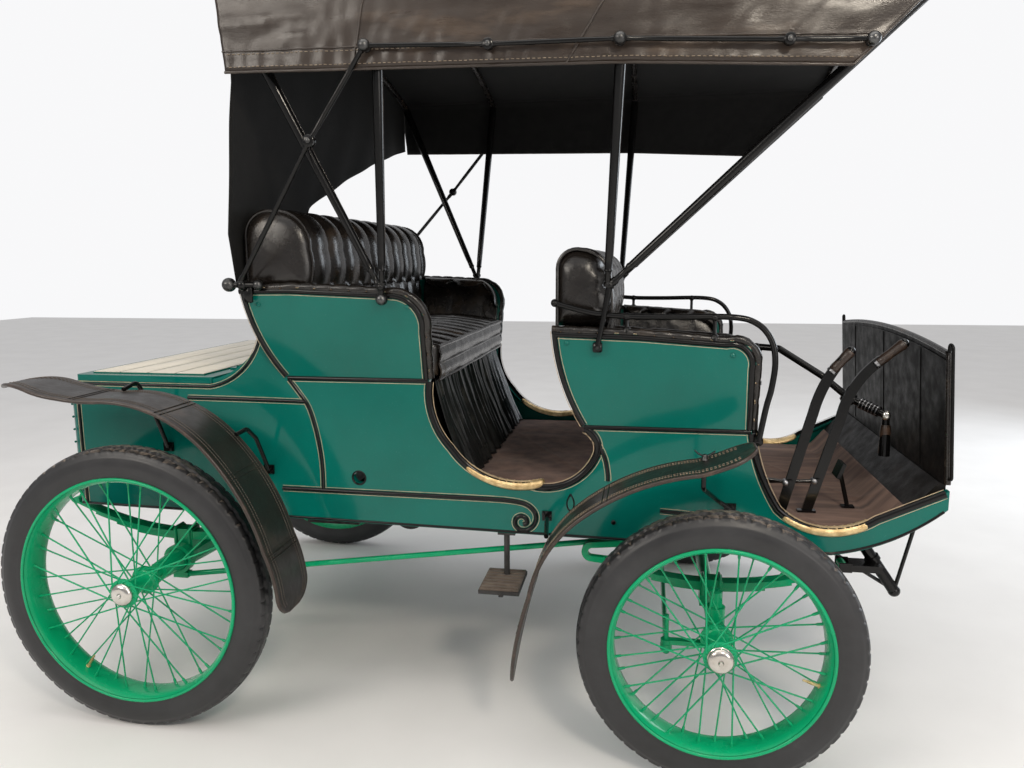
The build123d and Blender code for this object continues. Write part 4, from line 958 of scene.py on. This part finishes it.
def skirt():
    """Gathered cloth that hangs from the seat's front and spreads over the mat."""
    half, top, foot = 446, 942, 655

    def point(down, across):
        y = -half + 2 * half * across
        fold = math.sin(y * 0.105 + 1.1 * math.sin(y * 0.021) + down * 0.9)
        small = math.sin(y * 0.27 + 2.2 * down + 1.7 * math.sin(y * 0.013))
        x = 783 + 99 * down ** 1.25 + (2.5 + 7.5 * down) * fold + (1.5 + 2.0 * down) * small
        x += 5 * lumps(y * 0.012, down * 3.0, 4.2)
        return at(x, y + 3.0 * down * math.cos(y * 0.105), top - (top - foot) * down)

    shape = surface(point, 40, 180)
    piece = shape.make("seat_skirt_look", SKIRT, slot="skirt_cloth", replaces=["seat_skirt"], angle=70)
    thicken(piece, 0.0016)


def mat(name, line, replaces, seed, material):
    """A mat that lies on the floor with a few soft folds; line is its middle in X and Z."""
    half = 480
    line = evenly(line, 6)
    x0, x1 = line[0][0], line[-1][0]

    def point(along, across):
        x, floor_z = line[round(along * (len(line) - 1))]
        y = -half + 2 * half * across
        fade = min(1, min(x - x0, x1 - x, y + half, half - y) / 40)
        crease = max(0, 1 - abs(math.sin(x * 0.011 + y * 0.006 + seed)) * 9)
        swell = 3.2 + 3.4 * lumps(x * 0.006 + seed, y * 0.012, 0.3) + 3.2 * crease
        return at(x, y, floor_z + 1.2 + fade * swell)

    piece = surface(point, len(line) - 1, 100).make(name, material, slot="mat", replaces=replaces, angle=70)
    thicken(piece, 0.002)


back_piping()
cushion_flap()
skirt()
mat("rear_mat_look", [(860, 645), (1250, 645)], ["floor_mats"], 1.3, MAT)
mat("front_mat_look", [(1622, 578), (1962, 578), (1980, 589), (2024, 641)], [], 7.9, FRONT_MAT)


# Top

def roof_z(y, inset=0):
    """The roof's crowned height, or that of a line inset below it."""
    r = (CANOPY_HALF ** 2 + CANOPY_CROWN ** 2) / (2 * CANOPY_CROWN)
    return CANOPY_Z1 + CANOPY_CROWN - r + math.sqrt((r - inset) ** 2 - y * y)


BOWS_X = (369, 727, 1296, 1962)
SKIN_OUT = CANOPY_HALF - 1.5
EAVE_R = 24
ROOF_HALF = SKIN_OUT - EAVE_R * 0.96
EAVE_Z = roof_z(ROOF_HALF) - 2
EAVE_BACK = 345
EAVE_FRONT = 1993
HEM_LINE = ((362, 1712), (1290, 1694), (1775, 1668))


def roof_skin(across, along):
    """The roof's top, by its share across from -1 to 1 and along from back to front."""
    y = across * ROOF_HALF
    z = roof_z(y) - 2
    x0 = 362 - 30 * (z - 1712) / 298
    x1 = 1995 + 57 * (z - 1885) / 125
    x = x0 + (x1 - x0) * along
    bow = min(abs(x - b) for b in BOWS_X)
    fade = min(1, abs(SKIN_OUT - abs(y)) / 80)
    z += 3.2 * lumps(x * 0.009, y * 0.006, 1) * fade - 2.5 * min(1, bow / 200)
    return at(x, y, z)


def eave_skin(share, along, side):
    """The round eave, from the valance's top to the roof's edge."""
    a = math.radians(90 * share)
    y = ROOF_HALF + (SKIN_OUT - ROOF_HALF) * math.sin(math.radians(90) - a)
    z = EAVE_Z - EAVE_R * (1 - math.sin(a))
    return at(EAVE_BACK + (EAVE_FRONT - EAVE_BACK) * along, side * y, z)


def valance_skin(down, along, side):
    """The valance below the eave, wrinkled and drawn in at its hem."""
    top = EAVE_Z - EAVE_R
    front = 1988 - 213 * down
    back = 346 + 16 * down
    x = back + (front - back) * along
    z = top + (point_along(HEM_LINE, along)[1] - top) * down
    hem = math.exp(-((down - 0.86) / 0.14) ** 2)
    gather = math.sin(x * 0.14 + 2.4 * math.sin(x * 0.017)) * 1.5 * hem
    wrinkle = 4.6 * lumps(x * 0.011, z * 0.03, 3.3 * side) + 2.4 * lumps(x * 0.035, z * 0.05, 9.1 * side)
    fade = min(1, down * 3, (1 - down) * 6 + 0.25)
    return at(x, side * (SKIN_OUT + fade * wrinkle + gather), z)


def canopy_line(along):
    """Points across the whole top at a share of its length, each with the way it is lifted for a seam."""
    line = [(valance_skin(1 - i / 12, along, -1), Vector((0, -0.001, 0.001))) for i in range(13)]
    line += [(eave_skin(i / 6, along, -1), Vector((0, -0.001, 0.001))) for i in range(1, 6)]
    line += [(roof_skin(-1 + 2 * i / 60, along), Vector((0, 0, 0.001))) for i in range(61)]
    line += [(eave_skin(1 - i / 6, along, 1), Vector((0, 0.001, 0.001))) for i in range(1, 6)]
    line += [(valance_skin(i / 12, along, 1), Vector((0, 0.001, 0.001))) for i in range(13)]
    return line


def canopy():
    """One leather sheet over the bows, round at the eaves, with a gathered hem below each side rod."""
    shape = Shape()
    lines = [canopy_line(i / 190) for i in range(191)]
    shape.grid([[p for p, lift in across] for across in zip(*lines)])
    piece = shape.make("canopy_leather", ROOF, slot="top_leather", replaces=["canopy"], angle=80)
    piece.data.materials.append(LINING)
    thicken(piece, 0.003, -1).material_offset = 1


def canopy_trim():
    """Welts along the hems, seams and roof ends, and two rows of stitches on each valance."""
    welts = Shape()
    stitches = Shape()
    for side in SIDES:
        for down, r in ((1.0, 3.4), (0.72, 2.0)):
            line = [valance_skin(down, i / 120, side) + outward(side) * 0.0012 for i in range(121)]
            welts.tube(line, r, 8)
        for down in (0.93, 0.76):
            for i in range(2, 238, 2):
                a = valance_skin(down, i / 240, side) + outward(side) * 0.001
                b = valance_skin(down, (i + 1.1) / 240, side) + outward(side) * 0.001
                stitches.tube([a, b], 0.9, 5)
        welts.tube([valance_skin(i / 20, 1.0, side) for i in range(21)], 3.4, 8)
    for along in (0.225, 0.575):
        welts.tube([p + lift for p, lift in canopy_line(along)], 2.4, 8)
    for along in (0.0, 1.0):
        welts.tube([roof_skin(-1 + 2 * i / 60, along) for i in range(61)], 4, 8)
    welts.make("canopy_welts", ROOF, slot="top_leather", angle=60)
    stitches.make("canopy_stitches", THREAD, slot="top_leather")


def curtain():
    """The black leather behind the rear seat, drawn up at its left lower corner."""
    low_line = run((-568, 1208), [(-232, 1208), (-120, 1440), ((260, 1590), (716, 1720))], 12)
    half = 717

    def point(up, across):
        y_low, z_low = point_along(low_line, across)
        y_top = -half + 2 * half * across
        z_top = roof_z(y_top, 9) - 3
        y = y_low + (y_top - y_low) * up
        z = z_low + (z_top - z_low) * up
        x = 273 if z < 1340 else min(352, 273 + 79 * (z - 1340) / 370)
        x += 3.5 * math.sin(y * 0.03 + 1.5 * math.sin(z * 0.006)) * (1 - up)
        x += 5 * lumps(y * 0.006, z * 0.005, 2.7) * math.sin(math.pi * up)
        return at(x, y, z)

    shape = surface(point, 36, 80)
    piece = shape.make("rear_curtain_look", LINING, slot="top_leather", replaces=["rear_curtain"], angle=80)
    thicken(piece, 0.0025)


canopy()
canopy_trim()
curtain()


# The top's irons

# Each post: its foot's X, Y and Z, then the X and the height where it passes the hem
POSTS = (
    (679, ARM_Y, 1207, 447, 1714),
    (688, ARM_Y, 1207, 722, 1711),
    (1263, BRACE_Y, 1204, 1290, 1703),
    (1275, BRACE_Y, 1212, 1805, 1706),
)
POST_TOP = roof_z(POST_Y, 16.3) - 10.3
ROD_ENDS = ((716, 1752), (1292, 1739), (1806, 1713))
ARM_Z = 1208


def post_at(post, z):
    foot_x, foot_y, foot_z, hem_x, hem_z = post
    x = foot_x + (hem_x - foot_x) * (z - foot_z) / (hem_z - foot_z)
    return x, foot_y + (POST_Y - foot_y) * (z - foot_z) / (POST_TOP - foot_z), z


def posts(bars, seams, side, put):
    """The bows' tapered legs, each with a forked foot and a sewn seam along its leather."""
    tapered = [0.1 + 0.9 * i / 16 for i in range(17)]
    shares = [0, 0.012, 0.016, 0.05, 0.06, 0.065] + tapered
    sizes = [10.5, 10.5, 7.5, 7.5, 11, 9.6] + [9.6 + 4.2 * s for s in tapered]
    for post in POSTS:
        foot = put(*post_at(post, post[2]))
        way = put(*post_at(post, POST_TOP)) - foot
        bars.tube([foot + way * s for s in shares], sizes, 20)
        turn = outward(-side).cross(way).normalized()
        seam = [foot + way * s + turn * ((r - 0.6) / 1000) for s, r in zip(shares[6:], sizes[6:])]
        seams.tube(seam, 1.5, 6)


def arm_ends(bars, nuts, put):
    """The rear posts' pivot and the arm's end behind the seat, with their nuts."""
    bars.ball(put(684, ARM_Y, 1203), 12)
    bars.tube([put(684, ARM_Y, 1203), put(684, ARM_Y - 2, 1174)], [9, 7], 14)
    nuts.ball(put(684, ARM_Y - 4, 1171), 16)
    bars.block(put(312, ARM_Y - 6, 1184), (24, 12, 48), 3)
    bars.tube([put(264, ARM_Y, ARM_Z), put(345, ARM_Y, ARM_Z)], 8, 14)
    nuts.ball(put(262, ARM_Y, ARM_Z), 19)
    bars.ball(put(300, ARM_Y, ARM_Z), 15)
    nuts.ball(put(345, ARM_Y, ARM_Z), 14)


def rods(bars, nuts, side, put):
    """The jointed rods outside the valance, with a knuckle in each and a nut at each post."""
    (x0, z0), (x1, z1), (x2, z2) = ROD_ENDS
    lines = (((290, ARM_Y, ARM_Z), (559, 708, 1552), (x0, ROD_Y, z0), 6.5),
             ((x0, ROD_Y, z0), (1003, ROD_Y, 1741), (x1, ROD_Y, z1), 5.6),
             ((x1, ROD_Y, z1), (1642, ROD_Y, 1720), (x2, ROD_Y, z2), 5.6))
    for p, joint, q, r in lines:
        p, joint, q = put(*p), put(*joint), put(*q)
        sizes = [r * 1.1, r * 1.1, r * 0.85, r, r, r * 0.85, r * 1.1, r * 1.1]
        for a, b in ((p, joint), (joint, q)):
            bars.tube([a + (b - a) * s for s in (0, 0.06, 0.07, 0.3, 0.7, 0.93, 0.94, 1)], sizes, 14)
        knuckle = [(0, -9.5), (r * 1.9, -9.5), (r * 2.2, -8), (r * 2.2, -2), (r * 1.9, 0), (r * 2.2, 2),
                   (r * 2.2, 8), (r * 1.9, 9.5), (0, 9.5)]
        bars.turned(knuckle, joint, outward(1), 24)
        nuts.turned([(0, 13), (4.5, 12.5), (6, 11), (6, 8)], joint, outward(side), 12)
    for (x, z), post in zip(ROD_ENDS, POSTS[1:]):
        bars.tube([put(x, post_at(post, z)[1], z), put(x, ROD_Y + 4, z)], 6, 12)
        bars.turned([(6.4, -22), (12, -20), (12, -12), (8, -10)], put(x, ROD_Y + 2, z), outward(side), 20)
        nuts.ball(put(x, ROD_Y + 3, z), 14.6)


def brace_foot(bars, nuts, side, put):
    """The front posts' pivot and the short brace down to its lug on the seat's side."""
    pivot = put(1269, BRACE_Y, 1207)
    bars.ball(pivot, 12)
    bars.tube([pivot, put(1255, BRACE_Y, 1130), put(1240, BRACE_Y - 1, 1052)], [9, 6.5, 7], 14)
    bars.block(put(1240, BRACE_Y - 8, 1049), (24, 20, 26), 3)
    nuts.turned([(0, 8), (4, 7.5), (6, 5), (6, 0)], put(1240, BRACE_Y + 2, 1049), outward(side), 12)


def irons():
    bars = Shape()
    seams = Shape()
    nuts = Shape()
    for side in SIDES:
        def put(x, y, z):
            return at(x, side * y, z)

        posts(bars, seams, side, put)
        arm_ends(bars, nuts, put)
        rods(bars, nuts, side, put)
        brace_foot(bars, nuts, side, put)
    bars.make("top_irons_look", BLACK, slot="black_paint", replaces=["top_irons"], angle=45)
    seams.make("post_seams", SEAT, slot="leather")
    nuts.make("top_nuts", DARK_STEEL)


irons()


# Fenders

REAR_W = 82.5
FRONT_W = 70
REAR_LOW = REAR_R - 22
FRONT_LOW = FRONT_R - 130
FRONT_TIP = WHEELBASE + 64
REAR_TIP = -345


def width_by_arc(points, value):
    """Half the leaf's width at a value between the arc's ends, through three (value, half width) points."""
    cx, cz, r = circle3(*points)
    root = math.sqrt(max(0.0, r * r - (value - cx) ** 2))
    return min((cz + root, cz - root), key=lambda option: abs(option - points[1][1]))


def rear_width(x, z):
    """Half the rear fender's width: round at its tip and at its foot."""
    half = REAR_W
    if x < -120:
        half = width_by_arc(((REAR_TIP, 0), (-262, 0.8 * REAR_W), (-120, REAR_W)), max(REAR_TIP, x))
    if x > 300 and z < REAR_LOW + 50:
        foot = ((REAR_LOW, 0.2 * REAR_W), (REAR_LOW + 12, 0.72 * REAR_W), (REAR_LOW + 50, REAR_W))
        half = min(half, width_by_arc(foot, max(REAR_LOW, z)))
    return max(2, half)


def front_width(x, z):
    """Half the front fender's width: blunt at its tip and long drawn at its foot."""
    half = FRONT_W
    if x > FRONT_TIP - 55:
        tip = ((FRONT_TIP, 0), (FRONT_TIP - 14, 0.72 * FRONT_W), (FRONT_TIP - 55, FRONT_W))
        half = width_by_arc(tip, min(FRONT_TIP, x))
    if z < FRONT_LOW + 240:
        foot = ((FRONT_LOW, 0), (FRONT_LOW + 110, 0.68 * FRONT_W), (FRONT_LOW + 240, FRONT_W))
        half = min(half, width_by_arc(foot, max(FRONT_LOW, z)))
    return max(2, half)


def fender(name, points, half_width, thread, under):
    """Edge beads, sewn lines and cross straps on one pair; under is the side of the line that is below."""
    beads = Shape()
    stitches = Shape()
    straps = Shape()
    points = evenly(points, 8)
    halves = [half_width(*p) for p in points]
    above = side_by(points, 0.6 * under)
    middle = side_by(points, -4 * under)
    strapped = side_by(points, 0.4 * under)
    for side in SIDES:
        def put(p, off):
            return at(p[0], side * (TRACK / 2 + off), p[1])

        edge = [put(p, half) for p, half in zip(middle, halves)]
        edge += reversed([put(p, -half) for p, half in zip(middle, halves)])
        beads.tube(edge + [edge[0]], 5.2, 8, caps=False)
        for inset, width in ((15, 1.1), (27, 0.8)):
            for way in (-1, 1):
                for i in range(4, len(points) - 4):
                    here = halves[i] - inset
                    there = halves[i + 1] - inset
                    if min(here, there) >= 6:
                        a = put(above[i], way * here)
                        b = put(above[i + 1], way * there)
                        stitches.tube([a, a + (b - a) * 0.62], width, 5)
        for share in (0.2, 0.42, 0.64, 0.84):
            i = int(share * (len(points) - 1))
            reach = halves[i] - 3
            for j in (i - 1, i + 1):
                straps.tube([put(strapped[j], reach * (1 - 2 * s / 6)) for s in range(7)], 1.6, 6)
    beads.make(name + "_beads", GRIP, slot="leather", angle=60)
    stitches.make(name + "_stitches", thread, slot="leather")
    straps.make(name + "_straps", FENDER, slot="leather")


def fender_wing_nuts():
    """A wing nut on top of each front fender."""
    wings = Shape()
    for side in SIDES:
        foot = at(WHEELBASE - 44, side * (TRACK / 2 - 40), FRONT_R + 455)
        wings.turned([(0, 14), (5, 13), (7, 9), (8, 3), (10, 0)], foot, UP, 16)
        wing = ((0.004, 0.009), (0.016, 0.015), (0.024, 0.022))
        for way in (-1, 1):
            line = [foot + Vector((x * way, 0, z)) for x, z in wing]
            wings.tube(line, [4, 4.5, 3.5], 10, flat=0.5)
    wings.make("fender_wing_nuts", DARK_STEEL)


fender("rear_fender", run((-334, REAR_R + 552), [
    ((-262, REAR_R + 564), (-190, REAR_R + 551)), ((-95, REAR_R + 532), (5, REAR_R + 530)),
    ((150, REAR_R + 504), (278, REAR_R + 420)), ((377, REAR_R + 286), (432, REAR_R + 151)),
    ((458, REAR_R + 65), (464, REAR_R - 22))]), rear_width, DARK_THREAD, 1)
fender("front_fender", run((WHEELBASE + 62, FRONT_R + 502), [
    ((WHEELBASE + 12, FRONT_R + 476), (WHEELBASE - 60, FRONT_R + 449)),
    ((WHEELBASE - 200, FRONT_R + 411), (WHEELBASE - 327, FRONT_R + 337)),
    ((WHEELBASE - 409, FRONT_R + 248), (WHEELBASE - 457, FRONT_R + 125)),
    ((WHEELBASE - 489, FRONT_R + 2), (WHEELBASE - 509, FRONT_R - 125))]), front_width, THREAD, -1)
fender_wing_nuts()


# Deck and dash

def deck_boards():
    boards = Shape()
    for x0, x1 in ((-257, -173), (-167, -83), (-77, 7), (13, 99)):
        boards.block(at((x0 + x1) / 2, 0, 948.2), (x1 - x0, 938, 2.6), 1.2)
    boards.make("deck_boards", CREAM, "deck_lid", "teal_paint")


DASH_T = 14
DASH_HALF = 511
DASH_EDGE_Z = 1040
DASH_CROWN = 28


def dash_x(z, off):
    """X at a height on the leaning dash, off its rear face."""
    return 2095 - 20 * (z - 716) / 324 + off


def dash_top(y):
    return DASH_EDGE_Z + DASH_CROWN * (1 - (y / DASH_HALF) ** 2)


def dash_trim():
    """Seams on both faces of the dash and a rolled border around it."""
    border = Shape()
    seams = Shape()
    for off in (-0.5, DASH_T + 0.5):
        for y in (-330, 0, 330):
            seams.tube([at(dash_x(z, off), y, z) for z in range(722, 1060 if y == 0 else 1052, 12)], 1.6, 6)
        top = [(y, dash_top(y)) for y in range(-505, 506, 20)]
        seams.tube([at(dash_x(z, off), y, z - 14) for y, z in top], 1.4, 6)
    edge = [(-DASH_HALF, z) for z in range(718, 1036, 16)]
    edge += [(y, dash_top(y)) for y in range(-DASH_HALF, DASH_HALF + 1, 14)]
    edge += [(DASH_HALF, z) for z in range(1034, 717, -16)]
    border.tube([at(dash_x(z, DASH_T / 2), y, z) for y, z in edge], 7.6, 12)
    border.make("dash_border", SEAT, slot="leather", angle=60)
    seams.make("dash_seams", DASH, slot="leather")


# Controls

def lever_grips():
    """The grips and collars of the two hand levers, and the caps on their rods' pins."""
    grips = Shape()
    collars = Shape()
    for y, low, high in ((-360, (1956, 992), (2024, 1050)), (-400, (1838, 976), (1884, 1032))):
        foot = at(low[0], y, low[1])
        way = at(high[0], y, high[1]) - foot
        grips.tube([foot + way * s for s in (0.08, 0.12, 0.3, 0.55, 0.8, 0.95, 1.05, 1.1)],
                   [9, 12.4, 13, 12.2, 13.6, 14.6, 12, 5], 18)
        collars.tube([foot + way * s for s in (0.0, 0.02, 0.1, 0.12)], [10, 13.4, 13.4, 11], 18)
    for y, x, z in ((-360, 1820, 672), (-400, 1738, 676)):
        for way in (-1, 1):
            collars.turned([(0, 14), (6, 13), (8, 11), (8, 0)], at(x, y, z), outward(way), 12)
    grips.make("lever_grips", GRIP, slot="leather", angle=60)
    collars.make("lever_collars", STEEL)


def tiller_parts():
    """The tiller's knurled nut, folding joint, hanging grip and the collars on its post."""
    knurl = Shape()
    foot = at(TILLER_X + 275, TILLER_Y - 106, 864)
    way = at(TILLER_X + 320, TILLER_Y - 138, 845) - foot
    knurl.tube([foot + way * (i / 24) for i in range(25)],
               [15.6 if i % 4 in (1, 2) else 13.2 for i in range(25)], 20)
    knurl.tube([foot - way * s for s in (0.9, 0.86, 0.3, 0.26)], [12, 17, 17, 12], 20)
    knurl.make("tiller_knurls", STEEL, "tiller", angle=30)
    joint = Shape()
    end_x = TILLER_X + 335
    end_y = TILLER_Y - 150
    joint.turned([(0, -14), (9, -13.5), (12, -11), (12, -4), (9, -2), (9, 2), (12, 4), (12, 11), (9, 13.5),
                  (0, 14)], at(end_x, end_y, 838), Vector((0.3, 1, 0)), 20)
    joint.make("tiller_joint", NICKEL, "tiller")
    grip = Shape()
    grip.tube([at(end_x, end_y - 2, z) for z in (812, 806, 790, 765, 745, 730, 723.6)],
              [11.5, 13.6, 14.4, 13.4, 15, 15.4, 9], 18)
    grip.make("tiller_grip", GRIP, "tiller", "leather")
    collar = Shape()
    foot_collar = [(14.2, 30), (20, 28), (22, 22), (22, 8), (30, 4), (32, -3)]
    top_collar = [(14.2, 8), (19, 6), (19, -6), (14.2, -8)]
    for profile, z in ((foot_collar, 590), (top_collar, 900)):
        collar.turned(profile, at(TILLER_X, TILLER_Y, z), UP, 28)
    collar.make("tiller_collars", STEEL, "tiller")


# Handrails, bolts, springs, sills, steps and engine

RAIL = [(1128, 1160), (1222, 1136), (1312, 1127), (1420, 1126), (1570, 1127), (1632, 1111), (1668, 1070),
        (1679, 1015), (1673, 950), (1662, 900), (1648, 816)]
RAIL_POSTS = (1312, 1530)
RAIL_TOP = 1126


def seat_top(x):
    """The height of the front seat's side where a rail post stands."""
    return 1082 - (x - 1346) * 16 / 214


def handrails():
    rails = Shape()
    for side in SIDES:
        line = [at(x, side * RAIL_Y, z) for x, z in smooth(RAIL, 8)]
        rails.tube(line, 7.6, 16)
        rails.ball(line[0], 10.5)
        foot = at(1648, side * 516, 812)
        rails.turned([(0, 9), (8, 8), (12, 4), (13, -4), (0, -5)], foot, outward(side), 18)
        for x in RAIL_POSTS:
            z = seat_top(x)
            rails.tube([at(x, side * RAIL_Y, h) for h in (z, z + 12, RAIL_TOP)], [7.5, 5.2, 5.2], 12)
    rails.make("handrails_look", BLACK, slot="black_paint", replaces=["handrails"])


def bolt_heads():
    """Bolts of the stays' plates, the rail posts' feet and knobs, and the springs' eye bolts."""
    bolts = Shape()
    for side in SIDES:
        for x, z in ((0, 739), (310, 684), (1585, 632), (1108, 587)):
            for dx, dz in ((-9, 7), (9, -7)):
                bolts.turned([(0, 5), (3.6, 4.6), (4.6, 3), (4.8, 0)],
                             at(x + dx, side * (HALF_W + 6.3), z + dz), outward(side), 8)
        for x in RAIL_POSTS:
            bolts.turned([(6.2, 16), (9, 14), (11, 9), (12, 0)], at(x, side * RAIL_Y, seat_top(x)), UP, 16)
            bolts.ball(at(x, side * RAIL_Y, RAIL_TOP), 10.5)
        for x, z in ((1290, 450), (1882, 475), (-352, 548), (350, 545)):
            for way in (-1, 1):
                bolts.turned([(0, 8), (5, 7.4), (7, 5), (7.4, 0)],
                             at(x, side * (SPRING_Y + way * 20), z), outward(way), 8)
    bolts.make("bolt_heads", BLACK, slot="black_paint")


def spring_clips():
    """Two bent clips over each spring's middle."""
    clips = Shape()
    for side in SIDES:
        for axle_x, top in ((WHEELBASE, 410), (0, 468)):
            for dx in (-22, 22):
                bend = ((-24, -34), (-24, 8), (-18, 13), (18, 13), (24, 8), (24, -34))
                clips.tube([at(axle_x + dx, side * SPRING_Y + y, top + z) for y, z in bend], 4.2, 10)
    clips.make("spring_clips", GREEN, slot="green_paint")


def sill_moulding(sills, pearls, edge, x0, x1):
    """A brass band rolled over the body's edge, round at its ends, with two rows of beads."""
    cx, cz, r = circle3(*edge)
    count = round((x1 - x0) / 4)
    xs = [x0 + (x1 - x0) * i / count for i in range(count + 1)]
    line = [(x, cz - math.sqrt((r - 1) ** 2 - (x - cx) ** 2)) for x in xs]
    for side in SIDES:
        rows = []
        for i, (x, z) in enumerate(line):
            full = 0.35 + 0.65 * rounded(min(1, min(i, count - i) / 4))
            ripple = 1.3 * math.sin(i * 1.9) * math.cos(i * 0.55)
            section = [(-14, -2), (-14, 6), (-9, 12 + ripple), (0, 14.5), (9, 14 + ripple), (15, 10),
                       (18, 3), (18, -4), (15, -9), (10, -10)]
            rows.append([at(x, side * (499 + a * full), z + 1 + b * full) for a, b in section])
        sills.body(rows)
        for x, z in line[3:count - 2:2]:
            pearls.ball(at(x, side * 516.4, z + 3), 2.3, segments=8)
            pearls.ball(at(x, side * 503, z + 14.6), 2.6, segments=8)


def sill_mouldings():
    sills = Shape()
    pearls = Shape()
    sill_moulding(sills, pearls, ((838, 762), (925, 686), (1060, 664)), 880, 1100)
    sill_moulding(sills, pearls, ((1699, 629), (1810, 577), (1943, 612)), 1712, 1930)
    sills.make("sill_mouldings", BRASS, slot="brass", angle=60)
    pearls.make("sill_pearls", BRASS, slot="brass")


def step_treads():
    """A ribbed pad on each side step."""
    treads = Shape()
    for side in SIDES:
        treads.block(at(990, side * 529, 404), (106, 146, 5), 2)
        for k in range(7):
            treads.block(at(990, side * (469 + 20 * k), 407.5), (100, 9, 3), 1)
    treads.make("step_treads", TREAD_PAD, slot="iron")


def engine_ribs():
    """Cooling ribs on the engine and a round cover on each of its sides."""
    case = Shape()
    for k in range(7):
        case.block(at(-20 + k * 66, 0, 802), (10, 440, 8), 2)
    for side in SIDES:
        case.turned([(0, 40), (40, 40), (70, 30), (74, 0)], at(180, side * 240, 650), outward(side), 32)
    case.make("engine_ribs", IRON, slot="iron")


deck_boards()
dash_trim()
lever_grips()
tiller_parts()
handrails()
bolt_heads()
spring_clips()
sill_mouldings()
step_treads()
engine_ribs()


# Camera, light and floor

CAMERA_AT = (1359, -2527.3, 1265.8)
CAMERA_YAW = -0.1698
CAMERA_PITCH = 0.1556
CAMERA_ROLL = 0.0046
FOCAL_PIXELS = 780.23
PHOTO_WIDE = 1024
SENSOR = 36


def camera():
    """The camera solved from the photo."""
    level = math.cos(CAMERA_PITCH)
    ahead = Vector((math.sin(CAMERA_YAW) * level, math.cos(CAMERA_YAW) * level, -math.sin(CAMERA_PITCH)))
    right = Vector((math.cos(CAMERA_YAW), -math.sin(CAMERA_YAW), 0))
    down = ahead.cross(right)
    c, s = math.cos(CAMERA_ROLL), math.sin(CAMERA_ROLL)
    x_axis = right * c + down * s
    y_axis = -(down * c - right * s)
    turn = Matrix((x_axis, y_axis, -ahead)).transposed().to_4x4()
    data = bpy.data.cameras.new("camera")
    data.sensor_width = SENSOR
    data.lens = FOCAL_PIXELS * SENSOR / PHOTO_WIDE
    data.clip_end = 60
    cam = bpy.data.objects.new("camera", data)
    cam.matrix_world = Matrix.Translation(at(*CAMERA_AT)) @ turn
    bpy.context.scene.collection.objects.link(cam)
    bpy.context.scene.camera = cam


def area(name, place, aim, size, power, colour):
    data = bpy.data.lights.new(name, "AREA")
    data.shape = "RECTANGLE"
    data.size, data.size_y = size
    data.energy = power
    data.color = colour
    lamp = bpy.data.objects.new(name, data)
    lamp.location = place
    lamp.rotation_euler = (Vector(aim) - Vector(place)).to_track_quat("-Z", "Y").to_euler()
    bpy.context.scene.collection.objects.link(lamp)


def high_light():
    """A very soft light from straight above that also reaches the far floor."""
    data = bpy.data.lights.new("high", "SUN")
    data.energy = 1.1
    data.angle = math.radians(120)
    bpy.context.scene.collection.objects.link(bpy.data.objects.new("high", data))


def world():
    """A pale background for the camera, and a softer one for light and reflections."""
    w = bpy.data.worlds.new("world")
    w.use_nodes = True
    bpy.context.scene.world = w
    tree = w.node_tree
    back = fill(tree, tree.nodes["Background"], Color=(0.90, 0.90, 0.92, 1), Strength=0.32)
    pale = added(tree, "ShaderNodeBackground", Color=(0.94, 0.94, 0.95, 1), Strength=1.0)
    rays = added(tree, "ShaderNodeLightPath").outputs
    seen = worked(tree, "MAXIMUM", rays["Is Camera Ray"], rays["Is Transmission Ray"])
    mirrored = worked(tree, "MULTIPLY", rays["Is Glossy Ray"], 0.18)
    mix = added(tree, "ShaderNodeMixShader", Fac=worked(tree, "MAXIMUM", seen, mirrored))
    tree.links.new(back.outputs["Background"], mix.inputs[1])
    tree.links.new(pale.outputs["Background"], mix.inputs[2])
    fill(tree, tree.nodes["World Output"], Surface=mix.outputs["Shader"])


def floor(reach=14):
    """A plain pale floor."""
    m, tree, bsdf = nodes_of("pale_floor")
    cloud = noise_node(tree, coordinates(tree), 2.5, 5)
    tones = ((0.3, (0.78, 0.77, 0.76)), (0.7, (0.83, 0.82, 0.81)))
    fill(tree, bsdf, Base_Color=ramp(tree, cloud, tones), Roughness=0.8)
    mesh = bpy.data.meshes.new("floor")
    corners = [(-reach, -reach, 0), (reach, -reach, 0), (reach, reach, 0), (-reach, reach, 0)]
    mesh.from_pydata(corners, [], [(0, 1, 2, 3)])
    mesh.materials.append(m)
    ground = bpy.data.objects.new("floor", mesh)
    bpy.context.scene.collection.objects.link(ground)


camera()
area("ceiling", (0.2, -0.6, 4.4), (0, 0, 0.6), (4.5, 3.0), 70, (1.0, 0.95, 0.88))
area("window", (4.6, 2.6, 2.0), (0.2, 0, 0.9), (2.2, 2.2), 85, (0.86, 0.93, 1.0))
area("hall", (-2.6, -3.6, 2.9), (0, 0, 0.8), (2.2, 1.2), 62, (1.0, 0.93, 0.84))
area("front_fill", (3.4, -3.6, 1.7), (0.3, 0, 0.7), (1.8, 1.8), 38, (1.0, 0.95, 0.9))
area("lamp", (1.5, -3.1, 2.9), (0.1, 0, 0.9), (0.5, 0.35), 38, (1.0, 0.90, 0.76))
high_light()
world()
floor()
bpy.context.scene.view_settings.view_transform = "Standard"
